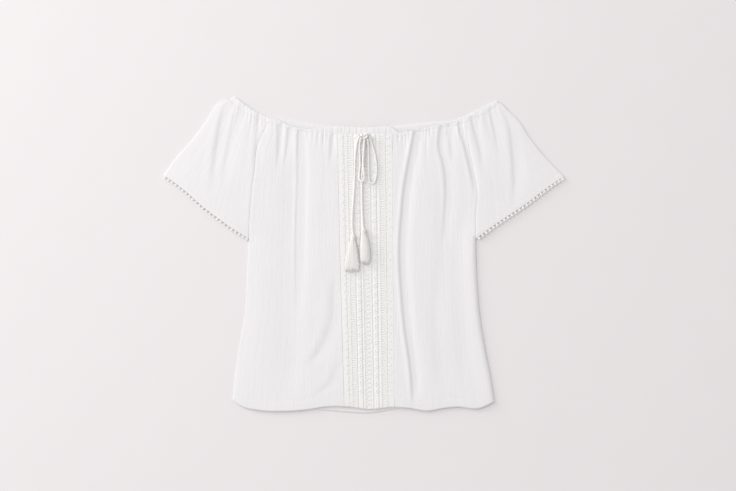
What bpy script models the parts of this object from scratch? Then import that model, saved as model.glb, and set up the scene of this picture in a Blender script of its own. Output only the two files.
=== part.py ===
"""Off-shoulder top in crinkle crepe, laid flat on its back, with a lace front panel and a tasselled tie.

X runs across the top, Y from hem to neckline and Z up from the surface that it lies on. Tables hold
millimetres, which become metres in the meshes. Left and right are as seen from above.
"""

import math

import bmesh
import bpy
import numpy as np

for item in list(bpy.data.objects):
    bpy.data.objects.remove(item, do_unlink=True)

MM = 0.001

# Cloth
WALL = 1.2  # crepe with its crinkle
GAP = 0.3  # between neighbouring pieces
BACK_MID = WALL / 2  # middle of the cloth that lies on the surface
FRONT_MID = BACK_MID + WALL + GAP  # middle of the front cloth where it lies on the back
FOLD_BEND = (FRONT_MID - BACK_MID) / 2  # radius of a fold between the two layers
SLEEVE_ACROSS = 90.0  # mean width of a sleeve, from its fold to the raglan seam
LOFT = 1.9  # how far the front cloth stands off the back between its folds
ROLL = 7.0  # how quickly it comes down to a folded edge or a side seam
HEM_ROLL = 9.0  # the same at an open hem
HEM_SHARE = 0.45  # part of the loft that an open hem keeps
FOLD_FADE = 12.0  # folds die out this near a side edge
SOFT_REST = 0.5  # how gently a trough comes to rest on the back
TRIM_WALL = 1.0
TRIM_GAP = 0.6  # from the hem, with room for the facets
TRIM_WIDTH = 4.4  # how far the picot edging stands past the sleeve hem
TRIM_SHORT = 1.5  # the edging stops this far from the underarm
BEND_POINTS = (30, 60, 90, 120, 150)  # degrees round a folded edge
SLEEVE_ROWS = 11
LOWER_ROWS = 8  # rows of the body below the underarm
BACK_COLUMNS = 50

# Middle of the whole top on the plan, which the meshes have as their origin
CENTRE = (-1.2, -0.5)

# Tie
CORD = 3.2  # diameter
KNOT_CENTRE = (1.0, 207.5)
KNOT_HALF = (8.0, 5.6, 4.2)

# Body edge from the neckline down the raglan seam, past the underarm and down the side seam.
BODY_EDGE = (
    # y, left x, right x
    (262, -150, 172),
    (236, -163, 176),
    (210, -179, 179),
    (190, -187, 182.5),
    (144, -193, 191.5),
    (104, -197.5, 197),
    (70, -200.5, 194.5),
    (28, -202, 194.3),
    (-30, -205, 195.7),
    (-78, -206.5, 198.6),
    (-112, -209.8, 202),
    (-165, -219.4, 210.6),
    (-218, -226.6, 221),
    (-255, -230.5, 226.8),
)
UNDERARM_Y = 28

# Fold along the top of each sleeve, from the neck band to the tip.
SHOULDER = {
    "left": ((-239.7, 270.7), (-253, 265), (-277.4, 230.5), (-302, 198.5), (-326.5, 171), (-351, 138.5)),
    "right": ((238.4, 263.8), (250, 252.3), (269.7, 232.5), (286.8, 206), (318.7, 166.5), (348.6, 136)),
}
# Sleeve hem from the tip to the underarm.
SLEEVE_HEM = {
    "left": ((-351, 138.5), (-336, 129), (-311, 109.5), (-283, 84.5), (-258.5, 66), (-234, 48), (-202, 28)),
    "right": ((348.6, 136), (331, 125.2), (311.5, 111), (288, 93), (263, 75.5), (237, 58.5), (194.3, 28)),
}

# Neck band: its top edge on each layer, how far the low edge lies below it, and how far outwards.
NECK = (
    # x, back top, back drop, front top, front drop, lean
    (-226.6, 276.5, 5.5, 276.3, 5.5, -12),
    (-215, 269.3, 9, 267.2, 8.5, -9.5),
    (-196, 257, 11, 253.5, 9, -7),
    (-172, 245.2, 12, 241.5, 9.5, -4.5),
    (-150, 239.5, 12.5, 234.5, 9, -3),
    (-128, 235, 13, 224.5, 7, -1.5),
    (-100, 230.5, 13, 219.6, 6.5, -1),
    (-75, 225.8, 13, 222.3, 10.5, 0),
    (-48, 223.8, 13, 223.5, 13, 0),
    (10, 222.1, 13, 221.9, 13, 0),
    (46, 224, 13, 223, 13, 0),
    (62, 225.4, 13, 213.2, 7.5, 0),
    (90, 228.8, 13, 218.2, 7, 1),
    (125, 232.4, 13, 226, 7.5, 2),
    (159, 235.6, 12.5, 232, 9, 3),
    (186, 247, 12, 243, 9.5, 5),
    (213, 261.5, 10, 257.8, 9.5, 8),
    (232.8, 270, 5.5, 269.8, 5.5, 5),
)
BAND_GAP = 0.6  # measured up the slope, and with room for the facets
SEAM_STEPS = 30  # tries that find where a seam line meets a band or a hem

HEM = (
    # x, front y, back y
    (-230.5, -255, -255),
    (-213.5, -265.7, -264),
    (-183, -272.5, -270),
    (-143, -274.2, -271.5),
    (-106, -271.8, -270.5),
    (-60, -265.7, -273.6),
    (-29, -266.4, -276.2),
    (9.6, -270.7, -277.7),
    (47.5, -267.2, -271.5),
    (78, -268.6, -266.5),
    (109, -273.4, -269),
    (139, -268.6, -266),
    (161, -266.4, -264.5),
    (201, -268.6, -265),
    (226.8, -257, -257),
)

LACE = (
    # y, centre x, half width
    (240, 0.2, 48),
    (-40, 4.5, 46),
    (-280, 8.8, 43.5),
)

# Main folds of the front: how deep each trough is, how wide on its left and right, how high the
# crest on its left stands, over what length it fades at the top and the bottom, and its path.
FOLDS = (
    # depth, left, right, crest, top fade, bottom fade, path (x, y)
    (3.2, 11, 6, 0.8, 10, 50,
     ((-115, 216), (-114, 174), (-118, 76), (-119, -31), (-127, -100), (-141, -255))),
    (2.0, 6, 6, 0.5, 10, 45, ((-151, 226), (-153, 186), (-155, 130))),
    (1.8, 10, 8, 0.6, 12, 60, ((-218, 254), (-229, 214), (-236, 174), (-241, 110))),
    (2.6, 9, 6, 0.9, 10, 70, ((-241, 268), (-250, 240), (-256, 204), (-263, 159), (-270, 95))),
    (1.5, 7, 8, 0.4, 10, 50, ((-186, 238), (-190, 179), (-191, 120))),
    (1.3, 7, 7, 0.3, 8, 35, ((-58.6, 205), (-59, 184), (-65, 140))),
    (4.2, 6, 9, 2.6, 8, 20,
     ((87, 210), (79, 165), (71, 100), (66, 25), (69, -24), (77, -146), (86, -268))),
    (2.4, 8, 9, 1.0, 8, 90,
     ((130, 219), (130, 184), (136.5, 138), (141, 95), (137, -1), (134, -102), (125, -200))),
    (1.6, 6, 6, 0.5, 8, 40, ((144, 222), (146, 193), (148, 140))),
    (2.2, 7, 6, 0.8, 10, 50, ((164, 224), (174, 169), (188, 109), (190, 60))),
    (1.8, 7, 7, 0.5, 8, 40, ((196, 240), (204, 179), (208, 140))),
    (1.6, 8, 8, 0.5, 8, 50, ((220.5, 252), (228, 216), (239, 165))),
    (2.2, 8, 9, 0.7, 8, 70, ((243, 262), (252, 235), (260, 192), (257, 70))),
    (1.5, 9, 12, 0.8, 40, 30, ((-58, -80), (-67, -136), (-79, -165), (-100, -200))),
)

# Routes of the tie over the front: x, y and how many cord diameters it lies above the cloth.
TIE_ROUTES = {
    "tie_tail_left": (
        (-8.4, 207.2, 0.4), (-11.8, 200, 0.1), (-13.8, 192, 0), (-15.6, 180, 0), (-16.8, 157, 0),
        (-17.3, 131, 0), (-19, 102, 0), (-21, 74, 0), (-21.4, 50, 0), (-20.2, 35.2, 0),
    ),
    "tie_tail_right": (
        (0.2, 201.7, 0), (-1.6, 183, 0), (-3.2, 157, 0), (-4.6, 131, 0), (-4.7, 103, 0),
        (-4.2, 78, 0), (-3.2, 60, 0), (-2.4, 46.6, 0),
    ),
    "tie_loop_left": (
        (-6.3, 203.6, 0.8), (-8.7, 192, 0.1), (-8.4, 174, 0), (-7.8, 155, 0), (-9.4, 139, 0.15),
        (-9.2, 131.6, 0.8), (-5.0, 127.4, 1.25), (-0.8, 131.8, 1.2), (-0.9, 140, 1.15), (-2.4, 156, 1.15),
        (-1.8, 175, 1.15), (-0.8, 192, 1.15), (-0.1, 201.5, 1.2),
    ),
    "tie_loop_right": (
        (5.5, 201.8, 0.9), (6.5, 190, 0.1), (6.9, 172, 0), (7.2, 151, 0), (7.7, 136, 0),
        (10.4, 125.6, 0), (15.2, 124.4, 0), (19.4, 132.6, 0), (21, 147, 0), (20.4, 162, 0),
        (17.6, 177, 0), (13.6, 190.5, 0.2), (9.2, 204.7, 0.9),
    ),
}
TIE_SPACING = {"tie_tail_left": 7.0, "tie_tail_right": 7.0, "tie_loop_left": 3.6, "tie_loop_right": 3.8}

# Tassels, from the head to the cut end of the strands.
TASSELS = {
    "tassel_left": (
        # y, centre x, half width, half height
        (34.7, -20.2, 2.9, 2.6),
        (31, -20.3, 4.2, 3.6),
        (26, -20.5, 3.7, 3.3),
        (18, -21, 6.6, 3.5),
        (0, -21.7, 10.8, 3.5),
        (-18, -21.9, 13, 2.9),
        (-29.8, -22, 12.4, 2.2),
    ),
    "tassel_right": (
        (46.1, -2.4, 2.9, 2.6),
        (43, -2.2, 4.3, 3.8),
        (38, -1.8, 3.8, 3.5),
        (30, -0.8, 6, 4),
        (12, 0.5, 8.3, 4.5),
        (-4, 0.9, 8.6, 4.3),
        (-12, 1, 7.4, 3.4),
        (-16.6, 1, 4.6, 2.4),
    ),
}
TASSEL_SIDES = 12


def through(xs, ys, at):
    """A smooth curve y(x) through the points, with slopes from their neighbours, read at the given places."""
    xs, ys = np.asarray(xs, float), np.asarray(ys, float)
    at = np.clip(at, xs[0], xs[-1])
    slopes = np.gradient(ys, xs)
    i = np.clip(np.searchsorted(xs, at, side="right") - 1, 0, len(xs) - 2)
    step = xs[i + 1] - xs[i]
    t = (at - xs[i]) / step
    rise = t * t * (3 - 2 * t)
    start = t * (1 - t) ** 2 * step * slopes[i]
    end = t * t * (t - 1) * step * slopes[i + 1]
    return ys[i] * (1 - rise) + ys[i + 1] * rise + start + end


def run(points):
    """Distance along a chain of points to each of them."""
    steps = np.linalg.norm(np.diff(points[:, :2], axis=0), axis=1)
    return np.concatenate([[0], np.cumsum(steps)])


def evenly(points, count):
    """The same chain of points, spaced evenly."""
    length = run(points)
    at = np.linspace(0, length[-1], count)
    return np.stack([np.interp(at, length, points[:, k]) for k in range(points.shape[1])], axis=1)


def smooth_route(points, count):
    """Evenly spaced points on a smooth curve through the given ones."""
    points = np.asarray(points, float)
    chord = run(points)
    fine = np.linspace(0, chord[-1], 500)
    dense = np.stack([through(chord, points[:, k], fine) for k in range(points.shape[1])], axis=1)
    return evenly(dense, count)


def body_edge(side, y):
    table = np.array(BODY_EDGE[::-1], float)
    return through(table[:, 0], table[:, 1 if side == "left" else 2], y)


def lace_edge(side, y):
    table = np.array(LACE[::-1], float)
    centre = through(table[:, 0], table[:, 1], y)
    half = through(table[:, 0], table[:, 2], y)
    return centre + (half if side == "right" else -half)


def hem(layer, x):
    table = np.array(HEM, float)
    return through(table[:, 0], table[:, 1 if layer == "front" else 2], x)


def neck_band(layer, count=240):
    """Top and low edge of the neck band on one layer, from the left shoulder to the right."""
    x, back_top, back_drop, front_top, front_drop, lean = np.array(NECK, float).T
    top, drop = (front_top, front_drop) if layer == "front" else (back_top, back_drop)
    rows = smooth_route(np.stack([x, top, x + lean, top - drop], axis=1), count)
    return rows[:, :2], rows[:, 2:]


LOW_EDGE = {layer: neck_band(layer)[1] for layer in ("front", "back")}


def below_band(layer, x):
    """Height on the plan just under the neck band, where the panels begin."""
    low = LOW_EDGE[layer]
    return np.interp(x, low[:, 0], low[:, 1]) - BAND_GAP


def seam_top(layer, edge):
    """Where a seam that runs up the plan meets the neck band."""
    y = BODY_EDGE[1][0]
    for _ in range(SEAM_STEPS):
        y = float(below_band(layer, edge(y)))
    return y


def distance_to(chain, x, y):
    """Shortest distance on the plan from each point to a chain of points."""
    flat = np.stack([np.ravel(x), np.ravel(y)], axis=1)[:, None, :]
    start, end = chain[:-1], chain[1:]
    step = end - start
    t = np.clip(((flat - start) * step).sum(2) / (step * step).sum(1), 0, 1)
    nearest = start + t[..., None] * step
    return np.linalg.norm(flat - nearest, axis=2).min(1).reshape(np.shape(x))


def side_chain(side):
    y = np.linspace(UNDERARM_Y, BODY_EDGE[-1][0], 30)
    return np.stack([body_edge(side, y), y], axis=1)


SIDES = ("left", "right")
FOLDED_EDGES = [smooth_route(SHOULDER[s], 30) for s in SIDES] + [side_chain(s) for s in SIDES]
HEM_X = np.linspace(HEM[0][0], HEM[-1][0], 60)
OPEN_EDGES = [smooth_route(SLEEVE_HEM[s], 20) for s in SIDES]
OPEN_EDGES.append(np.stack([HEM_X, hem("front", HEM_X)], axis=1))


def smoothstep(t):
    t = np.clip(t, 0, 1)
    return t * t * (3 - 2 * t)


def fold_relief(x, y):
    """Sum of the troughs and crests of the main folds."""
    total = np.zeros(np.shape(x))
    for depth, left, right, crest, top_fade, bottom_fade, path in FOLDS:
        path = np.array(path[::-1], float)
        off = x - through(path[:, 1], path[:, 0], y)
        strength = smoothstep((path[-1, 1] + top_fade - y) / top_fade)
        strength *= smoothstep((y - path[0, 1]) / bottom_fade)
        width = np.where(off < 0, left, right)
        total -= depth * strength * np.exp(-((off / width) ** 2))
        total += crest * strength * np.exp(-(((off + 1.9 * left) / (1.3 * left)) ** 2))
    return total


def front_height(x, y):
    """Middle of the front cloth: lofted, lower at its edges, with its folds, and clear of the back cloth."""
    folded = np.min([distance_to(chain, x, y) for chain in FOLDED_EDGES], axis=0)
    opened = np.min([distance_to(chain, x, y) for chain in OPEN_EDGES], axis=0)
    lift = LOFT * (1 - np.exp(-folded / ROLL))
    lift = lift * (1 - (1 - HEM_SHARE) * np.exp(-opened / HEM_ROLL))
    lift = lift + fold_relief(x, y) * (1 - np.exp(-((folded / FOLD_FADE) ** 2)))
    resting = 0.5 * (lift + np.sqrt(lift * lift + SOFT_REST**2))
    return FRONT_MID + resting - SOFT_REST / 2 * np.exp(-folded / ROLL)


def placed(points):
    """Points in metres about the middle of the top."""
    return (np.asarray(points) - (*CENTRE, 0)) * MM


def finish(name, points, faces, colour, roughness):
    """One named object with its own material."""
    mesh = bpy.data.meshes.new(name)
    mesh.from_pydata(placed(points).tolist(), [], faces)
    mesh.validate()
    item = bpy.data.objects.new(name, mesh)
    bpy.context.collection.objects.link(item)
    mesh.shade_smooth()
    mesh.set_sharp_from_angle(angle=math.radians(50))
    colour_item(item, colour, roughness)
    return item


def colour_item(item, colour, roughness):
    material = bpy.data.materials.new(item.name)
    material.use_nodes = True
    shader = material.node_tree.nodes["Principled BSDF"]
    shader.inputs["Base Color"].default_value = (*colour, 1)
    shader.inputs["Roughness"].default_value = roughness
    shader.inputs["Metallic"].default_value = 0
    item.data.materials.append(material)


def wall(name, middle, thickness, colour, roughness, looped=False):
    """A cloth wall: the middle surface, a grid of rows by columns, moved half its thickness each way."""
    across = np.roll(middle, -1, 1) - np.roll(middle, 1, 1)
    if not looped:
        across[:, 0] = middle[:, 1] - middle[:, 0]
        across[:, -1] = middle[:, -1] - middle[:, -2]
    normal = np.cross(np.gradient(middle, axis=0), across)
    normal /= np.linalg.norm(normal, axis=2, keepdims=True)
    rows, columns = middle.shape[:2]
    points = np.concatenate([(middle + s * thickness / 2 * normal).reshape(-1, 3) for s in (1, -1)])
    number = np.arange(rows * columns).reshape(rows, columns)
    if looped:
        number = np.concatenate([number, number[:, :1]], axis=1)
    a, b, c, d = number[:-1, :-1], number[:-1, 1:], number[1:, 1:], number[1:, :-1]
    upper = np.stack([a, d, c, b], axis=-1).reshape(-1, 4)
    lower = np.stack([a, b, c, d], axis=-1).reshape(-1, 4) + rows * columns
    if looped:
        rims = [number[0], number[-1][::-1]]
    else:
        rims = [np.concatenate([number[0], number[1:, -1], number[-1, -2::-1], number[-2::-1, 0]])]
    under = rows * columns
    edge = [np.stack([r[:-1], r[1:], r[1:] + under, r[:-1] + under], axis=1) for r in rims]
    return finish(name, points, np.concatenate([upper, lower, *edge]).tolist(), colour, roughness)


def patch(top, bottom, left, right, u, v):
    """A plan filled in between four edges: the blend of the two pairs less the blend of the corners."""

    def at(edge, share):
        length = run(edge)
        return np.stack([np.interp(share * length[-1], length, edge[:, k]) for k in (0, 1)], axis=-1)

    u, v = u[None, :, None], v[:, None, None]
    rows = (1 - v) * at(top, u[0, :, 0])[None] + v * at(bottom, u[0, :, 0])[None]
    columns = (1 - u) * at(left, v[:, 0, 0])[:, None] + u * at(right, v[:, 0, 0])[:, None]
    corners = (1 - v) * ((1 - u) * top[0] + u * top[-1]) + v * ((1 - u) * bottom[0] + u * bottom[-1])
    return rows + columns - corners


def with_height(plan, height):
    return np.concatenate([plan, height[..., None]], axis=-1)


def seam_line(edge, top, bottom, count=80):
    y = np.linspace(top, bottom, count)
    return np.stack([edge(y), y], axis=1)


def outline(layer, left_edge, right_edge):
    """The four edges of a body panel: down its left, down its right, along its top and along its hem."""
    sides = []
    for edge in (left_edge, right_edge):
        low = BODY_EDGE[-1][0]
        for _ in range(SEAM_STEPS):
            low = float(hem(layer, edge(low)))
        sides.append(seam_line(edge, seam_top(layer, edge), low))
    left, right = sides
    top_x = np.linspace(left[0, 0], right[0, 0], 80)
    low_x = np.linspace(left[-1, 0], right[-1, 0], 80)
    top = np.stack([top_x, below_band(layer, top_x)], axis=1)
    bottom = np.stack([low_x, hem(layer, low_x)], axis=1)
    return left, right, top, bottom


def row_shares(edge):
    """Rows down a panel: one at each row of the sleeve as far as the underarm, then on to the hem."""
    length = run(edge)
    underarm = float(np.interp(-UNDERARM_Y, -edge[:, 1], length)) / length[-1]
    below = np.linspace(underarm, 1, LOWER_ROWS + 1)[1:]
    return np.concatenate([np.linspace(0, underarm, SLEEVE_ROWS), below])


def front_panel(name, left_edge, right_edge, seam_side, columns, colour):
    """A front panel from the neck band to the hem, between two edges given as x at each y."""
    left, right, top, bottom = outline("front", left_edge, right_edge)
    plan = patch(top, bottom, left, right, np.linspace(0, 1, columns),
                 row_shares(left if seam_side == "left" else right))
    return wall(name, with_height(plan, front_height(plan[..., 0], plan[..., 1])), WALL, colour, 0.9)


def back_panel(left_edge, right_edge):
    """The back, one flat piece from the neck band to the hem."""
    left, right, top, bottom = outline("back", left_edge, right_edge)
    sides = []
    for edge in (left, right):
        length = run(edge)
        at = row_shares(edge) * length[-1]
        sides.append(np.stack([np.interp(at, length, edge[:, k]) for k in (0, 1)], axis=1))
    across = evenly(top, BACK_COLUMNS)
    below = evenly(bottom, BACK_COLUMNS)
    chain = np.concatenate([sides[0], below[1:-1], sides[1][::-1], across[-2:0:-1]])
    count = len(chain)
    points = np.concatenate([np.column_stack([chain, np.full(count, z)]) for z in (0, WALL)])
    faces = [list(range(count - 1, -1, -1)), list(range(count, 2 * count))]
    for k in range(count):
        n = (k + 1) % count
        faces.append([k, n, n + count, k + count])
    return finish("back", points, faces, CREPE, 0.9)


def sleeve(side, back_columns, front_columns, rows):
    """One flutter sleeve: back layer, fold along the shoulder, front layer, open at the hem."""
    out = -1 if side == "left" else 1

    def seam(y):
        return body_edge(side, y) + out * GAP / 2

    edges = {}
    shoulder = smooth_route(SHOULDER[side], 80)
    opening = smooth_route(SLEEVE_HEM[side], 80) + np.array([out * GAP / 2, 0])
    for layer in ("front", "back"):
        raglan = seam_line(seam, seam_top(layer, seam), UNDERARM_Y)
        neck_x = np.linspace(shoulder[0, 0], raglan[0, 0], 80)
        neck = np.stack([neck_x, below_band(layer, neck_x)], axis=1)
        neck[0] = shoulder[0]
        edges[layer] = (neck, raglan)
    v = np.linspace(0, 1, rows)
    angle = np.radians(BEND_POINTS)
    start = FOLD_BEND / SLEEVE_ACROSS
    inward = {"back": np.linspace(1, start, back_columns), "front": np.linspace(start, 1, front_columns)}
    sheets = {}
    for layer, share in inward.items():
        neck, raglan = edges[layer]
        plan = patch(neck, opening, shoulder, raglan, share, v)
        height = np.full(plan.shape[:2], BACK_MID)
        if layer == "front":
            height = front_height(plan[..., 0], plan[..., 1])
        sheets[layer] = with_height(plan, height)
    share = start * (1 - np.sin(angle))
    neck, raglan = edges["front"]
    plan = patch(neck, opening, shoulder, raglan, share, v)
    upper = sheets["front"][:, :1, 2]
    height = BACK_MID + (upper - BACK_MID) * (1 - np.cos(angle)) / 2
    middle = np.concatenate([sheets["back"], with_height(plan, height), sheets["front"]], axis=1)
    if side == "right":
        middle = middle[:, ::-1]
    return wall(f"sleeve_{side}", middle, WALL, CREPE, 0.9)


def ring_strip(name, edges, columns, thickness, colour, roughness):
    """A strip sewn into a ring and laid flat: front layer, fold, back layer, fold.

    edges gives for each layer its two long edges as chains of points with their height.
    """
    angle = np.radians(BEND_POINTS)

    def place(layer, share):
        lines = []
        for chain in edges[layer]:
            length = run(chain)
            at = share * length[-1]
            lines.append(np.stack([np.interp(at, length, chain[:, k]) for k in range(3)], axis=-1))
        return np.stack(lines)

    inset = FOLD_BEND / run(edges["front"][0])[-1]
    share = np.linspace(inset, 1 - inset, columns)
    front, back = place("front", share), place("back", share[::-1])
    far = place("front", 1 - inset * (1 - np.sin(angle)))
    near = place("front", inset * (1 - np.sin(angle[::-1])))
    rise = (1 + np.cos(angle)) / 2
    far[..., 2] = BACK_MID + (front[:, -1:, 2] - BACK_MID) * rise
    near[..., 2] = BACK_MID + (front[:, :1, 2] - BACK_MID) * rise[::-1]
    middle = np.concatenate([front, far, back, near], axis=1)
    return wall(name, middle[::-1], thickness, colour, roughness, looped=True)


def band_edges(layer):
    """The neck band's two long edges on one layer, with their height."""
    chains = neck_band(layer)
    if layer == "front":
        return [with_height(chain, front_height(chain[:, 0], chain[:, 1])) for chain in chains]
    return [with_height(chain, np.full(len(chain), BACK_MID)) for chain in chains]


def sleeve_trim(side):
    """Picot edging round the sleeve's opening, as a plain strip of its reach."""
    cloth = smooth_route(SLEEVE_HEM[side], 200)
    step = np.gradient(cloth, axis=0)
    away = np.stack([-step[:, 1], step[:, 0]], axis=1) * (1 if side == "right" else -1)
    away /= np.linalg.norm(away, axis=1, keepdims=True)
    kept = run(cloth) <= run(cloth)[-1] - TRIM_SHORT
    height = {"front": front_height(cloth[:, 0], cloth[:, 1]), "back": np.full(len(cloth), BACK_MID)}
    edges = {}
    for layer, z in height.items():
        pair = [with_height(cloth + away * reach, z)[kept] for reach in (TRIM_GAP, TRIM_GAP + TRIM_WIDTH)]
        edges[layer] = pair if side == "left" else [chain[::-1] for chain in pair]
    return ring_strip(f"sleeve_trim_{side}", edges, 24, TRIM_WALL, LACE_WHITE, 0.85)


def on_front(x, y):
    """Top face of the front cloth."""
    return front_height(np.asarray(x, float), np.asarray(y, float)) + WALL / 2


def tie_cord(name):
    """A free cord that lies on the front along its route."""
    route = np.array(TIE_ROUTES[name], float)
    count = int(round(run(route)[-1] / TIE_SPACING[name])) + 1
    route = smooth_route(route, count)
    rest = on_front(route[:, 0], route[:, 1]) + GAP + CORD / 2
    z = rest + route[:, 2] * CORD
    curve = bpy.data.curves.new(name, "CURVE")
    curve.dimensions = "3D"
    curve.bevel_depth = CORD / 2 * MM
    curve.bevel_resolution = 2
    curve.use_fill_caps = True
    spline = curve.splines.new("POLY")
    spline.points.add(count - 1)
    for point, place in zip(spline.points, placed(np.column_stack([route[:, :2], z]))):
        point.co = (*place, 1)
    item = bpy.data.objects.new(name, curve)
    bpy.context.collection.objects.link(item)
    colour_item(item, LACE_WHITE, 0.8)
    return item


def tassel(name):
    """A flattened tassel that lies on the front: rings of its outline, closed at both ends."""
    turn = np.linspace(0, 2 * math.pi, TASSEL_SIDES, endpoint=False)
    rings = []
    for y, centre, half, thick in TASSELS[name]:
        across = centre + half * np.linspace(-1, 1, 7)
        floor = on_front(across, np.full(7, y)).max() + 2 * GAP
        ring = [centre + half * np.cos(turn), np.full(TASSEL_SIDES, y), floor + thick * (1 + np.sin(turn))]
        rings.append(np.stack(ring, axis=1))
    points = np.concatenate(rings)
    faces = [list(range(TASSEL_SIDES - 1, -1, -1))]
    for ring in range(len(rings) - 1):
        for k in range(TASSEL_SIDES):
            a, b = ring * TASSEL_SIDES + k, ring * TASSEL_SIDES + (k + 1) % TASSEL_SIDES
            faces.append([a, b, b + TASSEL_SIDES, a + TASSEL_SIDES])
    faces.append(list(range(len(points) - TASSEL_SIDES, len(points))))
    return finish(name, points, faces, LACE_WHITE, 0.85)


def tie_knot():
    """The bow's knot, as a rounded solid that sits on the lace and the band."""
    shape = bmesh.new()
    bmesh.ops.create_uvsphere(shape, u_segments=14, v_segments=8, radius=1)
    base = np.array([v.co for v in shape.verts]) * KNOT_HALF
    base[:, :2] += KNOT_CENTRE
    floor = on_front(base[:, 0], base[:, 1]).max() + GAP
    base[:, 2] += floor + KNOT_HALF[2]
    for vertex, place in zip(shape.verts, placed(base)):
        vertex.co = place
    mesh = bpy.data.meshes.new("tie_knot")
    shape.to_mesh(mesh)
    shape.free()
    item = bpy.data.objects.new("tie_knot", mesh)
    bpy.context.collection.objects.link(item)
    mesh.shade_smooth()
    colour_item(item, LACE_WHITE, 0.8)
    return item


CREPE = (0.86, 0.855, 0.845)
LACE_WHITE = (0.88, 0.875, 0.86)


def inside(edge, out):
    """An edge moved half a seam gap towards the middle of its panel."""
    return lambda y: edge(y) - out * GAP / 2


back_panel(inside(lambda y: body_edge("left", y), -1), inside(lambda y: body_edge("right", y), 1))
front_panel("front_left", inside(lambda y: body_edge("left", y), -1),
            inside(lambda y: lace_edge("left", y), 1), "left", 24, CREPE)
front_panel("lace_panel", inside(lambda y: lace_edge("left", y), -1),
            inside(lambda y: lace_edge("right", y), 1), "left", 9, LACE_WHITE)
front_panel("front_right", inside(lambda y: lace_edge("right", y), -1),
            inside(lambda y: body_edge("right", y), 1), "right", 24, CREPE)
for side_name in SIDES:
    sleeve(side_name, 8, 13, SLEEVE_ROWS)
    sleeve_trim(side_name)
ring_strip("neck_band", {layer: band_edges(layer) for layer in ("front", "back")}, 44, WALL, CREPE, 0.9)
tie_knot()
for cord_name in TIE_ROUTES:
    tie_cord(cord_name)
for tassel_name in TASSELS:
    tassel(tassel_name)
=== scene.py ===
"""Off-shoulder top in white crinkle crepe with a lace insertion and a tasselled tie, laid flat on its back.

X runs across the top, Y from hem to neckline, Z up from the surface that it lies on. Tables hold
millimetres on the plan of the top, as the CAD part does, and placed() turns them to metres.
"""

import math

import bpy
import numpy as np
from bpy.props import FloatProperty, FloatVectorProperty, IntProperty, PointerProperty
from bpy.types import Operator, Panel, PropertyGroup
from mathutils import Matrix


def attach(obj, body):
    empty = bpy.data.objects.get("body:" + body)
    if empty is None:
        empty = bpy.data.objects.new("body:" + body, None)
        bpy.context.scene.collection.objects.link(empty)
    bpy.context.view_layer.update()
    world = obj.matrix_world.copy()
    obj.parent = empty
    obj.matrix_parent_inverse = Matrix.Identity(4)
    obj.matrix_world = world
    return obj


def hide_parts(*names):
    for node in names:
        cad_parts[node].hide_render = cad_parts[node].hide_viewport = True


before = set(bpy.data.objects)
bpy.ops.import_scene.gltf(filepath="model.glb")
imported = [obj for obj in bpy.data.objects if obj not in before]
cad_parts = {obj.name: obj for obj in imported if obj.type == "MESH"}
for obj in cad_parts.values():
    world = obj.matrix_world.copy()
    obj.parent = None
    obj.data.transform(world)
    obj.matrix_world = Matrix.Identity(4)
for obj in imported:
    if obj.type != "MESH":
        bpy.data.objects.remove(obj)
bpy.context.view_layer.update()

bl_info = {
    "name": "Off-shoulder top",
    "version": (1, 0, 0),
    "blender": (4, 5, 0),
    "location": "3D View > Sidebar > Top",
    "description": "Sews the off-shoulder top round its CAD frame: crepe, lace, picot trim, tie and stage",
    "category": "Object",
}

MM = 0.001
CENTRE = (-1.2, -0.5)  # middle of the whole top on the plan

# Cloth
WALL = 1.2  # the CAD cloth
BACK_MID = WALL / 2  # middle of the cloth that lies on the surface
FRONT_MID = 2.1  # middle of the front cloth where it lies on the back
FOLD_BEND = (FRONT_MID - BACK_MID) / 2  # radius of a fold between the two layers
CORD_GAP = 0.3  # the tie lies this far above the front
LOFT = 1.9  # how far the front cloth stands off the back between its folds
ROLL = 24.0  # how slowly it comes down to a folded edge or the left side seam
FULL_ROLL = 2.8  # the same at the right side seam, which stands up in a full roll
FULLNESS = 1.7  # how much higher the cloth stands along that roll
FULL_REACH = 26.0  # how far the roll reaches in
HEM_ROLL = 5.0  # how quickly the cloth comes down to an open hem
HEM_SHARE = 0.8  # part of the loft that an open hem keeps
FOLD_FADE = 12.0  # folds die out this near a side edge
SOFT_REST = 0.5  # how gently a trough comes to rest on the back
TUCK = 1.5  # the gathered top edge runs this far up inside the neck band
HEM_TURN = 17.0  # body hem, turned up
SLEEVE_TURN = 9.5  # sleeve hem, turned up
UNDERARM_Y = 28
LEAST_GAP = 0.12  # between the front cloth and the back cloth where a trough touches down
TOUCH_DOWN = 0.2  # how gently its finer relief comes down to that
SEAT = 0.03  # between the back cloth and the surface that it lies on
BACK_SINK = 0.1  # how much lower than the CAD cloth the back lies
GATHERS_REACH = 262.0  # the gathers lie within this of the middle
SLEEVE_ACROSS = 90.0  # mean width of a sleeve, from its fold to the raglan seam
BEND_POINTS = (20, 40, 60, 80, 100, 120, 140, 160)  # degrees round a folded edge
SEAM_STEPS = 30  # tries that find where a seam line meets a band or a hem

# Body edge from the neckline down the raglan seam, past the underarm and down the side seam.
BODY_EDGE = (
    # y, left x, right x
    (262, -150, 172),
    (236, -163, 176),
    (210, -179, 179),
    (190, -187, 182.5),
    (144, -193, 191.5),
    (104, -197.5, 197),
    (70, -200.5, 194.5),
    (28, -202, 194.3),
    (-30, -205, 195.7),
    (-78, -206.5, 198.6),
    (-112, -209.8, 202),
    (-165, -219.4, 210.6),
    (-218, -226.6, 221),
    (-255, -230.5, 226.8),
)

# Fold along the top of each sleeve, from the neck band to the tip.
SHOULDER = {
    "left": ((-239.7, 270.7), (-253, 265), (-277.4, 230.5), (-302, 198.5), (-326.5, 171), (-351, 138.5)),
    "right": ((238.4, 263.8), (250, 252.3), (269.7, 232.5), (286.8, 206), (318.7, 166.5), (348.6, 136)),
}
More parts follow.
